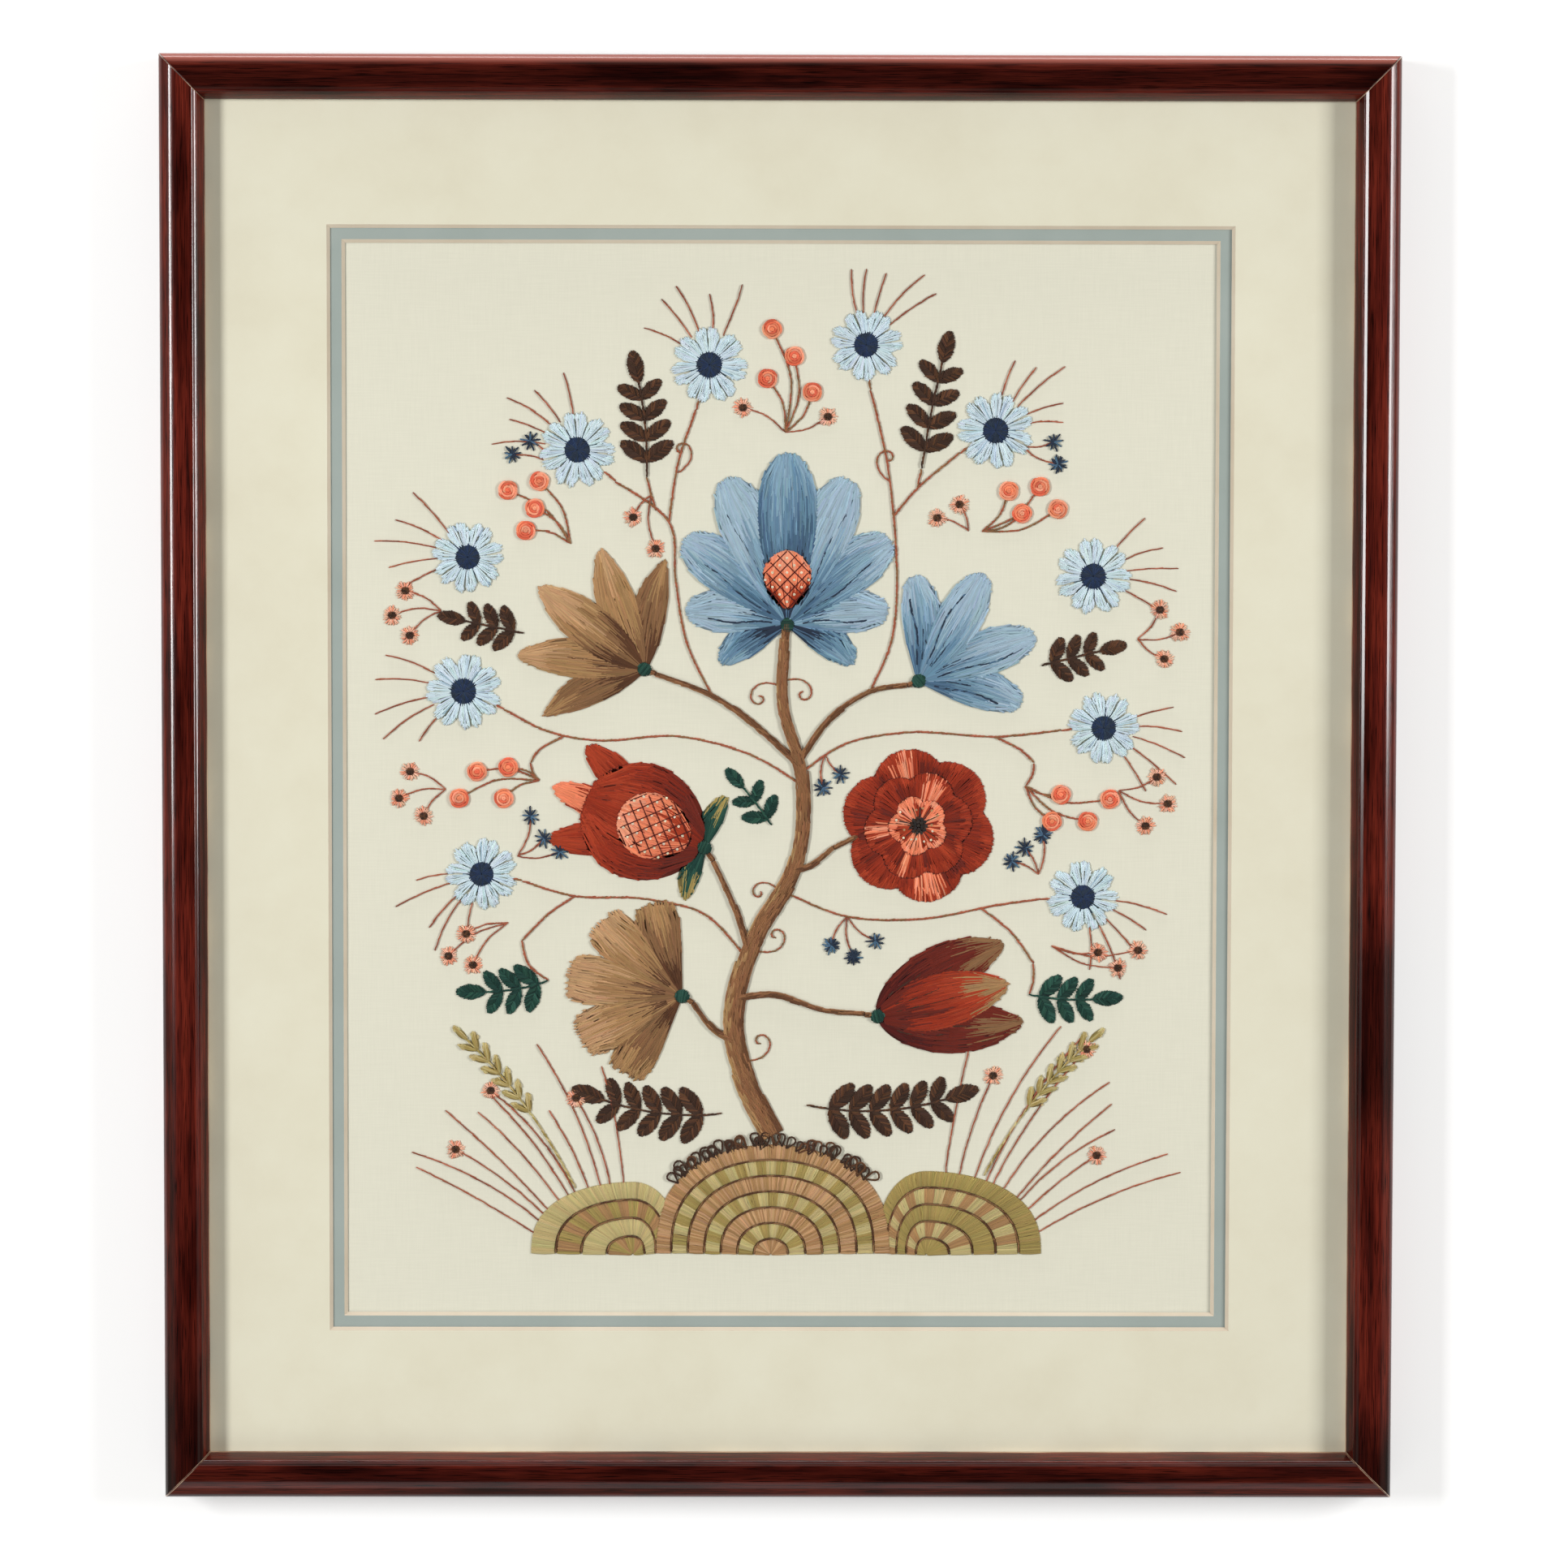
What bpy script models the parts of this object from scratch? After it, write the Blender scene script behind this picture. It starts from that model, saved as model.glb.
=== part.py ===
"""A framed crewel embroidery panel: a stitched linen in two window mats and a moulded wood frame.

It lies on its back with the stitching up: +Z is out of the picture and +Y is its top.
The origin is under its middle. Lengths are in metres, and the design's tables are in millimetres.
"""

import math

import bmesh
import bpy
from mathutils import Vector

MM = 0.001
GAP = 0.3 * MM

# Frame
FRAME_WIDTH = 552 * MM
FRAME_HEIGHT = 646 * MM
RAIL_FACE = 19.5 * MM
REBATE_DEPTH = 6.0 * MM
# Each row is a corner of the moulding: millimetres in from its outer side, millimetres up from its back
MOULDING = (
    (0.0, 0.0),
    (0.0, 18.2),
    (0.3, 19.6),
    (1.1, 21.3),
    (2.4, 22.9),
    (4.4, 24.2),
    (6.6, 24.9),
    (9.0, 25.0),
    (11.4, 24.7),
    (14.0, 23.75),
    (14.6, 23.65),
    (16.0, 24.25),
    (16.6, 24.35),
    (17.4, 23.8),
    (18.3, 22.0),
    (19.0, 19.4),
    (19.5, 17.4),
    (19.5, 15.0),
    (13.5, 15.0),
    (13.5, 0.0),
)

# Layers behind the moulding, from the back
BOARD_LOW = 7.0 * MM
BOARD_THICK = 3.0 * MM
LINEN_THICK = 1.0 * MM
MAT_THICK = 1.4 * MM
WINDOW_CENTRE = (0.4 * MM, -0.2 * MM)
OUTER_WINDOW = (405 * MM, 496 * MM)
INNER_WINDOW = (392 * MM, 483 * MM)
MAT_BEVEL = 1.5 * MM

LAYER_WIDTH = FRAME_WIDTH - 2 * (RAIL_FACE - REBATE_DEPTH) - 2 * GAP
LAYER_HEIGHT = FRAME_HEIGHT - 2 * (RAIL_FACE - REBATE_DEPTH) - 2 * GAP
LINEN_LOW = BOARD_LOW + BOARD_THICK + GAP
LINEN_TOP = LINEN_LOW + LINEN_THICK
INNER_MAT_LOW = LINEN_TOP + GAP
OUTER_MAT_LOW = INNER_MAT_LOW + MAT_THICK + GAP

# How high each kind of stitching stands
STITCH_LOW = LINEN_TOP + GAP
STEM_THICK = 1.2 * MM
LEAF_THICK = 1.0 * MM
PETAL_THICK = 1.2 * MM
HEART_THICK = 1.5 * MM
BERRY_THICK = 1.9 * MM

# Colours of the yarns and of the other pieces, with roughness
COLOURS = {
    "mahogany": ((0.078, 0.010, 0.007), 0.28),
    "cream card": ((0.78, 0.74, 0.58), 0.9),
    "grey blue card": ((0.36, 0.42, 0.38), 0.9),
    "linen": ((0.75, 0.75, 0.62), 0.9),
    "board": ((0.42, 0.34, 0.25), 0.9),
    "rust": ((0.29, 0.025, 0.014), 0.8),
    "maroon": ((0.16, 0.014, 0.014), 0.8),
    "coral": ((0.87, 0.19, 0.11), 0.8),
    "light blue": ((0.43, 0.61, 0.80), 0.55),
    "mid blue": ((0.15, 0.31, 0.46), 0.8),
    "navy": ((0.011, 0.023, 0.054), 0.8),
    "tan": ((0.41, 0.23, 0.09), 0.8),
    "stem brown": ((0.26, 0.12, 0.05), 0.8),
    "dark brown": ((0.054, 0.027, 0.018), 0.8),
    "dark green": ((0.013, 0.065, 0.048), 0.8),
    "khaki": ((0.55, 0.48, 0.21), 0.8),
    "olive": ((0.38, 0.28, 0.08), 0.8),
}

# Hillocks on the ground line: middle, reach to the left, reach to the right, height
GROUND = -214
HILLOCKS = {
    "hill_middle": (-4, 52, 54, 50, "tan"),
    "hill_left": (-66, 46, 20, 33, "khaki"),
    "hill_right": (66, 22, 52, 38, "olive"),
}

# Trunk and branches of the tree, each a line of points with its width at the root and at the tip
BRANCHES = (
    (11.0, 4.5, ((-3, -160), (-15, -136), (-21, -106), (-11, -70), (7, -38), (10, 0), (1, 34), (2, 64))),
    (3.4, 2.4, ((-20, -118), (-30, -112), (-39, -100))),
    (3.4, 2.4, ((-20, -98), (-2, -96), (18, -103), (38, -105))),
    (3.4, 2.4, ((-14, -78), (-20, -58), (-30, -36))),
    (3.4, 2.4, ((6, -40), (14, -38), (24, -30))),
    (3.4, 2.4, ((9, 6), (-8, 22), (-30, 38), (-56, 48))),
    (3.4, 2.4, ((9, 10), (22, 28), (40, 40), (57, 43))),
    (1.4, 1.3, ((-15, -80), (-34, -60), (-62, -53), (-92, -52), (-116, -45))),
    (1.4, 1.3, ((-92, -52), (-104, -60), (-116, -72))),
    (1.4, 1.3, ((10, -2), (-14, 12), (-46, 20), (-80, 18), (-104, 22), (-124, 32))),
    (1.4, 1.3, ((-97, 20), (-108, 14), (-112, 8))),
    (1.4, 1.3, ((2, -50), (30, -61), (64, -62), (96, -56), (117, -53))),
    (1.4, 1.3, ((90, -57), (104, -68), (114, -82))),
    (1.4, 1.3, ((10, 4), (30, 17), (60, 22), (96, 20), (126, 23))),
    (1.4, 1.3, ((96, 20), (108, 14), (114, 8))),
    (1.4, 1.3, ((-30, 37), (-42, 62), (-47, 90), (-50, 116), (-74, 134))),
    (1.4, 1.3, ((-50, 116), (-46, 142), (-38, 166))),
    (1.4, 1.3, ((40, 40), (50, 64), (52, 96), (48, 140), (40, 175))),
    (1.4, 1.3, ((50, 118), (62, 132), (80, 147))),
)

# Tendrils: root x, root y, heading in degrees, length, how far they curl in degrees
TENDRILS = (
    (-17, -126, -8, 44, 400),
    (0, -50, 128, 34, 380),
    (1, 42, 150, 44, 420),
    (0, 44, 28, 42, -400),
    (-46, 138, 28, 38, 400),
    (49, 134, 150, 40, -400),
    (-12, -76, -22, 44, 400),
)

# Blooms seen from the side: root x, root y, heading in degrees, size, colour, petals
BLOOMS = {
    "palmette_petals": (3, 70, 90, 77, "mid blue", "palmette"),
    "pomegranate_skin": (-34, -30, 158, 58, "rust", "pomegranate"),
    "lily": (-61, 50, 142, 60, "tan", "lily"),
    "carnation": (-44, -97, 170, 52, "tan", "carnation"),
    "tulip": (44, -106, 14, 66, "maroon", "tulip"),
    "bellflower": (62, 45, 40, 57, "mid blue", "bell"),
}
# Petals: turn from the bloom's heading in degrees, length and width over the bloom's size, bend in
# degrees, and how the width grows at the root and shrinks at the tip
PETALS = {
    "palmette": (
        (-96, 0.46, 0.20, -50, 0.8, 0.6),
        (96, 0.46, 0.20, 50, 0.8, 0.6),
        (-68, 0.60, 0.26, -30, 0.9, 0.5),
        (68, 0.60, 0.26, 30, 0.9, 0.5),
        (-43, 0.78, 0.30, -16, 0.9, 0.45),
        (43, 0.78, 0.30, 16, 0.9, 0.45),
        (-20, 0.92, 0.32, -6, 0.9, 0.45),
        (20, 0.92, 0.32, 6, 0.9, 0.45),
        (0, 1.0, 0.36, 0, 0.9, 0.5),
    ),
    "pomegranate": (
        (-72, 0.44, 0.18, -40, 0.8, 0.7),
        (72, 0.44, 0.18, 40, 0.8, 0.7),
        (-14, 1.2, 0.26, -10, 1.6, 0.6),
        (14, 1.2, 0.26, 10, 1.6, 0.6),
        (0, 1.26, 0.24, 0, 1.6, 0.6),
        (0, 1.0, 0.92, 0, 0.6, 0.5),
    ),
    "lily": (
        (-50, 0.84, 0.26, -26, 0.7, 0.8),
        (50, 0.84, 0.26, 26, 0.7, 0.8),
        (-25, 0.96, 0.30, -14, 0.7, 0.7),
        (25, 0.96, 0.30, 14, 0.7, 0.7),
        (0, 1.0, 0.34, 0, 0.7, 0.7),
    ),
    "carnation": (
        (-58, 0.84, 0.38, -10, 1.1, 0.25),
        (58, 0.84, 0.38, 10, 1.1, 0.25),
        (-30, 0.95, 0.42, -5, 1.1, 0.25),
        (30, 0.95, 0.42, 5, 1.1, 0.25),
        (0, 1.0, 0.44, 0, 1.1, 0.25),
    ),
    "tulip": (
        (-27, 1.0, 0.38, 22, 0.6, 0.7),
        (27, 1.0, 0.38, -22, 0.6, 0.7),
        (0, 0.92, 0.40, 0, 0.6, 0.7),
    ),
    "bell": (
        (-38, 0.84, 0.32, -30, 0.8, 0.5),
        (38, 0.84, 0.32, 30, 0.8, 0.5),
        (-14, 0.98, 0.36, -10, 0.8, 0.5),
        (14, 0.98, 0.36, 10, 0.8, 0.5),
    ),
}
CUP_RADIUS = 3.2

# Hearts set into a side-view bloom: the bloom, turn, length, width, bend, root and tip as above, colour
BLOOM_HEARTS = {
    "palmette_heart": ("palmette_petals", 0, 0.44, 0.30, 0, 0.7, 0.6, "coral"),
    "pomegranate_heart": ("pomegranate_skin", 0, 0.72, 0.54, 0, 0.6, 0.5, "coral"),
}

# Rings of the rose, from the outer one in: radius, lobes, depth of the notches, turn, colour
ROSE_CENTRE = (62, -20)
ROSE = {
    "rose_outer": (35, 6, 0.16, 0.2, "maroon"),
    "rose_inner": (25, 6, 0.16, 0.7, "rust"),
    "rose_heart": (14, 5, 0.20, 0.1, "coral"),
}

# Small blue flowers: x, y, radius
SMALL_FLOWERS = (
    (-32, 186, 18),
    (38, 195, 17),
    (96, 157, 18),
    (-91, 148, 18),
    (-140, 100, 17),
    (-142, 40, 18),
    (140, 92, 18),
    (145, 24, 17),
    (-134, -42, 17),
    (136, -52, 17),
)
SMALL_LOBES = 7
SMALL_NOTCH = 0.28
SMALL_TURN = 0.3
SMALL_HEART = 0.36

# Leaf sprays: root x, root y, heading, length, bend, pairs of leaves, length of a leaf, colour
SPRAYS = {
    "fern_1": (-60, 136, 88, 44, 14, 4, 15, "dark brown"),
    "fern_2": (63, 140, 82, 50, -6, 4, 15, "dark brown"),
    "fern_3": (-115, 66, 168, 28, 0, 3, 13, "dark brown"),
    "fern_4": (117, 52, 14, 28, 0, 3, 13, "dark brown"),
    "fern_5": (-26, -150, 186, 56, -26, 5, 16, "dark brown"),
    "fern_6": (12, -146, -12, 66, 30, 6, 16, "dark brown"),
    "leaves_1": (-4, -20, 122, 22, 10, 2, 12, "dark green"),
    "leaves_2": (112, -96, -12, 30, 16, 3, 14, "dark green"),
    "leaves_3": (-104, -90, 200, 30, -20, 3, 14, "dark green"),
}
SPRAY_STEM = 1.4
LEAF_WIDTH = 0.5
LEAF_SPREAD = 46
LEAF_START = 0.16

# Wheat: root x, root y, heading, length, bend, pairs of grains, length of a grain
WHEAT = {
    "wheat_1": (-92, -184, 116, 84, 20, 6, 9),
    "wheat_2": (92, -178, 62, 78, -20, 6, 9),
}
GRAIN_START = 0.48
GRAIN_WIDTH = 0.42
GRAIN_SPREAD = 30

# Berries: root x, root y, then the middle of each berry
BERRIES = {
    "berries_1": ((2, 156), ((-6, 180), (6, 190), (-4, 202), (14, 174))),
    "berries_2": ((-108, 0), ((-124, -8), (-136, 4), (-122, 6), (-144, -8))),
    "berries_3": ((110, -2), ((126, -6), (138, -18), (122, -18), (148, -8))),
    "berries_4": ((90, 112), ((108, 120), (116, 132), (102, 130), (124, 122))),
    "berries_5": ((-94, 106), ((-110, 122), (-122, 130), (-108, 134), (-114, 112))),
}
BERRY_RADIUS = 4.6


# Outlines of the stitched motifs, in millimetres from the middle of the window

def turned(point, x, y, angle):
    c, s = math.cos(angle), math.sin(angle)
    return x + c * point[0] - s * point[1], y + s * point[0] + c * point[1]


def bent(u, side, length, bend):
    """A point at u along an arc that turns by bend in all, and side to its left."""
    if abs(bend) < 1e-4:
        return u * length, side
    radius = length / bend
    turn = u * bend
    return (radius - side) * math.sin(turn), radius - (radius - side) * math.cos(turn)


def swell(u, root, tip):
    """The share of a blade's full width at u along it."""
    peak = root / (root + tip)
    return (u ** root) * ((1 - u) ** tip) / (peak ** root * (1 - peak) ** tip)


def blade(x, y, angle, length, width, bend=0.0, root=0.7, tip=0.7, steps=4):
    sides = {1: [], -1: []}
    for side, row in sides.items():
        for i in range(steps + 1):
            u = i / steps
            row.append(turned(bent(u, side * swell(u, root, tip) * width / 2, length, bend), x, y, angle))
    return sides[1] + sides[-1][-2:0:-1]


def lobed(x, y, radius, lobes, notch, turn, per_lobe=4):
    ring = []
    for i in range(lobes * per_lobe):
        share = abs(math.sin(math.pi * i / per_lobe)) ** 0.7
        reach = radius * (1 - notch * (1 - share))
        angle = turn + 2 * math.pi * i / (lobes * per_lobe)
        ring.append((x + reach * math.cos(angle), y + reach * math.sin(angle)))
    return ring


def smooth(points, per_span=4):
    """Points on a smooth curve through the given ones."""
    ends = [points[0], *points, points[-1]]
    line = []
    for a, b, c, d in zip(ends, ends[1:], ends[2:], ends[3:]):
        for k in range(per_span):
            t = k / per_span
            line.append(tuple(
                0.5 * (2 * q + (r - p) * t + (2 * p - 5 * q + 4 * r - s) * t * t
                       + (3 * q - p - 3 * r + s) * t ** 3)
                for p, q, r, s in zip(a, b, c, d)
            ))
    return line + [tuple(points[-1])]


def ribbon(line, start, end):
    left, right = [], []
    for i, (x, y) in enumerate(line):
        ax, ay = line[max(i - 1, 0)]
        bx, by = line[min(i + 1, len(line) - 1)]
        run = math.hypot(bx - ax, by - ay)
        half = (start + (end - start) * i / (len(line) - 1)) / 2
        left.append((x - (by - ay) / run * half, y + (bx - ax) / run * half))
        right.append((x + (by - ay) / run * half, y - (bx - ax) / run * half))
    return left + right[::-1]


def tendril(x, y, heading, length, curl, steps=15):
    line = []
    angle = math.radians(heading)
    for i in range(steps + 1):
        line.append((x, y))
        step = length / steps * (1 - 0.6 * i / steps)
        angle += math.radians(curl) * (0.25 + 1.5 * i / steps) / steps
        x += step * math.cos(angle)
        y += step * math.sin(angle)
    return line


def mound(middle, left, right, height, grow=0.0, steps=14):
    line = []
    for i in range(steps + 1):
        turn = math.pi * i / steps
        reach = (right if turn < math.pi / 2 else left) + grow
        line.append((middle + reach * math.cos(turn), GROUND + (height + grow) * math.sin(turn) ** 0.75))
    if grow:
        line = [(middle + right + grow, GROUND - 5), *line, (middle - left - grow, GROUND - 5)]
    return line


# Solids

def new_collection(name):
    collection = bpy.data.collections.new(name)
    bpy.context.scene.collection.children.link(collection)
    return collection


def material(colour):
    if colour in bpy.data.materials:
        return bpy.data.materials[colour].copy()
    (red, green, blue), roughness = COLOURS[colour]
    made = bpy.data.materials.new(colour)
    made.use_nodes = True
    shader = made.node_tree.nodes["Principled BSDF"]
    shader.inputs["Base Color"].default_value = (red, green, blue, 1)
    shader.inputs["Roughness"].default_value = roughness
    return made


def add_mesh(mesh, name, collection, colour=None):
    obj = bpy.data.objects.new(name, mesh)
    mesh.name = name
    collection.objects.link(obj)
    if colour:
        mesh.materials.clear()
        mesh.materials.append(material(colour))
    return obj


def slab(outline, low, thick):
    """A flat outline with thickness: a filled 2D curve, extruded and made a welded mesh."""
    curve = bpy.data.curves.new("outline", "CURVE")
    curve.dimensions = "2D"
    curve.fill_mode = "BOTH"
    curve.extrude = thick / 2
    spline = curve.splines.new("POLY")
    spline.points.add(len(outline) - 1)
    for point, (x, y) in zip(spline.points, outline):
        point.co = (x, y, 0, 1)
    spline.use_cyclic_u = True
    holder = bpy.data.objects.new("outline", curve)
    bpy.context.scene.collection.objects.link(holder)
    evaluated = holder.evaluated_get(bpy.context.evaluated_depsgraph_get())
    mesh = bpy.data.meshes.new_from_object(evaluated)
    shape = bmesh.new()
    shape.from_mesh(mesh)
    bmesh.ops.remove_doubles(shape, verts=shape.verts, dist=0.00001)
    bmesh.ops.recalc_face_normals(shape, faces=shape.faces)
    bmesh.ops.translate(shape, vec=(0, 0, low + thick / 2), verts=shape.verts)
    shape.to_mesh(mesh)
    shape.free()
    bpy.data.objects.remove(holder)
    bpy.data.curves.remove(curve)
    return mesh


def in_window(outline):
    return [(WINDOW_CENTRE[0] + x * MM, WINDOW_CENTRE[1] + y * MM) for x, y in outline]


def combined(base, others, operation):
    """The base mesh with the others joined to it or cut from it by one exact Boolean."""
    bench = new_collection("bench")
    body = add_mesh(base, "body", bench)
    tools = new_collection("tools")
    for number, mesh in enumerate(others):
        add_mesh(mesh, f"tool_{number}", tools)
    boolean = body.modifiers.new("boolean", "BOOLEAN")
    boolean.operation = operation
    boolean.solver = "EXACT"
    boolean.operand_type = "COLLECTION"
    boolean.collection = tools
    evaluated = body.evaluated_get(bpy.context.evaluated_depsgraph_get())
    result = bpy.data.meshes.new_from_object(evaluated)
    for used in (*tools.objects, body):
        bpy.data.objects.remove(used)
    bpy.data.collections.remove(tools)
    bpy.data.collections.remove(bench)
    return result


def motif(name, colour, pieces, holes=()):
    """One stitched motif: overlapping pieces (outline, thickness) joined into one low solid."""
    meshes = [slab(in_window(outline), STITCH_LOW, thick) for outline, thick in pieces]
    body = meshes[0]
    if len(meshes) > 1:
        body = combined(body, meshes[1:], "UNION")
    if holes:
        cutters = [slab(in_window(hole), STITCH_LOW - 1 * MM, 5 * MM) for hole in holes]
        body = combined(body, cutters, "DIFFERENCE")
    shape = bmesh.new()
    shape.from_mesh(body)
    bmesh.ops.dissolve_limit(shape, angle_limit=0.02, verts=shape.verts, edges=shape.edges)
    bmesh.ops.triangulate(shape, faces=shape.faces)
    shape.to_mesh(body)
    shape.free()
    return add_mesh(body, name, panel, colour)


def block(name, colour, width, height, low, thick):
    bpy.ops.mesh.primitive_cube_add(size=1)
    obj = bpy.context.object
    obj.name = name
    obj.scale = (width, height, thick)
    obj.location = (0, 0, low + thick / 2)
    bpy.ops.object.transform_apply(location=True, rotation=True, scale=True)
    for collection in obj.users_collection:
        collection.objects.unlink(obj)
    panel.objects.link(obj)
    obj.data.materials.append(material(colour))
    return obj


def window_cutter(name, window, low):
    """A tapered block for a window whose edges slope down to its opening."""
    shape = bmesh.new()
    bmesh.ops.create_cube(shape, size=1)
    over = 1 * MM
    slope = MAT_BEVEL / MAT_THICK
    for corner in shape.verts:
        top = corner.co.z > 0
        spare = over * slope if top else -(MAT_BEVEL + over * slope)
        corner.co.x = math.copysign(window[0] / 2 + spare, corner.co.x) + WINDOW_CENTRE[0]
        corner.co.y = math.copysign(window[1] / 2 + spare, corner.co.y) + WINDOW_CENTRE[1]
        corner.co.z = low + MAT_THICK + over if top else low - over
    mesh = bpy.data.meshes.new(name)
    shape.to_mesh(mesh)
    shape.free()
    cutter = add_mesh(mesh, name, cutters_collection)
    cutter.hide_render = True
    cutter.display_type = "WIRE"
    return cutter


def mat(name, colour, window, low):
    obj = block(name, colour, LAYER_WIDTH, LAYER_HEIGHT, low, MAT_THICK)
    cut = obj.modifiers.new("window", "BOOLEAN")
    cut.operation = "DIFFERENCE"
    cut.solver = "EXACT"
    cut.object = window_cutter(name + "_window", window, low)
    return obj


def rail(name, half_length, out, turn):
    """A length of moulding whose outer side is at out from the middle, mitred at both ends."""
    mesh = slab([(x * MM, z * MM) for x, z in MOULDING], -half_length, 2 * half_length)
    shape = bmesh.new()
    shape.from_mesh(mesh)
    for corner in shape.verts:
        inward, up, along = corner.co
        corner.co = (along, inward - out, up)
    for end in (1, -1):
        bmesh.ops.bisect_plane(
            shape,
            geom=[*shape.verts, *shape.edges, *shape.faces],
            plane_co=(end * (half_length - GAP / 1.4), -out, 0),
            plane_no=(end, 1, 0),
            clear_outer=True,
        )
        open_edges = [edge for edge in shape.edges if edge.is_boundary]
        bmesh.ops.holes_fill(shape, edges=open_edges)
    bmesh.ops.triangulate(shape, faces=shape.faces)
    bmesh.ops.recalc_face_normals(shape, faces=shape.faces)
    shape.to_mesh(mesh)
    shape.free()
    obj = add_mesh(mesh, name, panel, "mahogany")
    obj.rotation_euler = (0, 0, math.radians(turn))
    return obj


for leftover in list(bpy.data.objects):
    bpy.data.objects.remove(leftover)
panel = new_collection("framed crewel embroidery panel")
cutters_collection = new_collection("cutters")

# Frame: the four rails, turned about the middle
rail("frame_rail_bottom", FRAME_WIDTH / 2, FRAME_HEIGHT / 2, 0)
rail("frame_rail_right", FRAME_HEIGHT / 2, FRAME_WIDTH / 2, 90)
rail("frame_rail_top", FRAME_WIDTH / 2, FRAME_HEIGHT / 2, 180)
rail("frame_rail_left", FRAME_HEIGHT / 2, FRAME_WIDTH / 2, 270)

# Board, linen and the two window mats
block("mount_board", "board", LAYER_WIDTH, LAYER_HEIGHT, BOARD_LOW, BOARD_THICK)
block("linen", "linen", LAYER_WIDTH, LAYER_HEIGHT, LINEN_LOW, LINEN_THICK)
mat("inner_mat", "grey blue card", INNER_WINDOW, INNER_MAT_LOW)
mat("outer_mat", "cream card", OUTER_WINDOW, OUTER_MAT_LOW)

# Ground: the side hillocks stop at the middle one
front = mound(*HILLOCKS["hill_middle"][:4], grow=0.5)
for name, (middle, left, right, height, colour) in HILLOCKS.items():
    behind = () if name == "hill_middle" else (front,)
    motif(name, colour, [(mound(middle, left, right, height), HEART_THICK)], behind)

# Tree: trunk, branches and tendrils in one stitched line
lines = [(ribbon(smooth(points), start, end), HEART_THICK if start > 5 else STEM_THICK)
         for start, end, points in BRANCHES]
lines += [(ribbon(tendril(*row), 1.5, 1.2), STEM_THICK) for row in TENDRILS]
motif("branches", "stem brown", lines)

# Side-view blooms, some with a heart let into them
for name, (x, y, heading, size, colour, kind) in BLOOMS.items():
    pieces = [(lobed(x, y, CUP_RADIUS, 8, 0.0, 0.0, 1), HEART_THICK)]
    for number, (turn, length, width, bend, root, tip) in enumerate(PETALS[kind]):
        outline = blade(x, y, math.radians(heading + turn), size * length, size * width,
                        math.radians(bend), root, tip, steps=8)
        pieces.append((outline, PETAL_THICK + 0.1 * MM * (number // 2 % 2)))
    holes = []
    for heart, (bloom, turn, length, width, bend, root, tip, heart_colour) in BLOOM_HEARTS.items():
        if bloom != name:
            continue
        angle = math.radians(heading + turn)
        shift = 2 * CUP_RADIUS
        ax, ay = turned((shift, 0), x, y, angle)
        bx, by = turned((shift - 0.6, 0), x, y, angle)
        inner = blade(ax, ay, angle, size * length - shift, size * width, math.radians(bend), root, tip, 8)
        holes.append(blade(bx, by, angle, size * length - shift + 1.2, size * width + 0.9,
                           math.radians(bend), root, tip, 8))
        motif(heart, heart_colour, [(inner, HEART_THICK)])
    motif(name, colour, pieces, holes)

# Rose: rings that fit inside one another
rings = list(ROSE.items())
for index, (name, (radius, lobes, notch, turn, colour)) in enumerate(rings):
    holes = []
    if index + 1 < len(rings):
        inner = rings[index + 1][1]
        holes = [lobed(*ROSE_CENTRE, inner[0] + 0.5, *inner[1:4])]
    thick = PETAL_THICK + 0.15 * MM * index
    motif(name, colour, [(lobed(*ROSE_CENTRE, radius, lobes, notch, turn), thick)], holes)

# Small flowers with a dark heart
for number, (x, y, radius) in enumerate(SMALL_FLOWERS, 1):
    heart = radius * SMALL_HEART
    petals = lobed(x, y, radius, SMALL_LOBES, SMALL_NOTCH, SMALL_TURN * number)
    motif(f"flower_{number}_petals", "light blue", [(petals, PETAL_THICK)],
          [lobed(x, y, heart + 0.4, 8, 0.0, 0.0, 1)])
    motif(f"flower_{number}_heart", "navy", [(lobed(x, y, heart, 8, 0.0, 0.0, 1), HEART_THICK)])

# Leaf sprays
for name, (x, y, heading, length, bend, pairs, leaf, colour) in SPRAYS.items():
    angle = math.radians(heading)
    turn = math.radians(bend)
    line = [turned(bent(i / 8, 0, length, turn), x, y, angle) for i in range(9)]
    pieces = [(ribbon(line, SPRAY_STEM, SPRAY_STEM), STEM_THICK)]
    for pair in range(pairs):
        u = LEAF_START + (1 - LEAF_START) * pair / pairs
        foot = turned(bent(u, 0, length, turn), x, y, angle)
        size = leaf * (1 - 0.2 * pair / pairs)
        for side in (1, -1):
            way = angle + turn * u + side * math.radians(LEAF_SPREAD)
            pieces.append((blade(*foot, way, size, size * LEAF_WIDTH, side * 0.3), LEAF_THICK))
    tip = turned(bent(0.96, 0, length, turn), x, y, angle)
    pieces.append((blade(*tip, angle + turn, leaf, leaf * LEAF_WIDTH), LEAF_THICK))
    motif(name, colour, pieces)

# Wheat
for name, (x, y, heading, length, bend, pairs, grain) in WHEAT.items():
    angle = math.radians(heading)
    turn = math.radians(bend)
    line = [turned(bent(i / 8, 0, length, turn), x, y, angle) for i in range(9)]
    pieces = [(ribbon(line, SPRAY_STEM, SPRAY_STEM), STEM_THICK)]
    for pair in range(pairs + 1):
        u = GRAIN_START + (1 - GRAIN_START) * pair / pairs
        foot = turned(bent(min(u, 0.99), 0, length, turn), x, y, angle)
        for side in (1, -1) if pair < pairs else (0,):
            way = angle + turn * u + side * math.radians(GRAIN_SPREAD)
            pieces.append((blade(*foot, way, grain, grain * GRAIN_WIDTH, steps=3), LEAF_THICK))
    motif(name, "olive", pieces)

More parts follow.
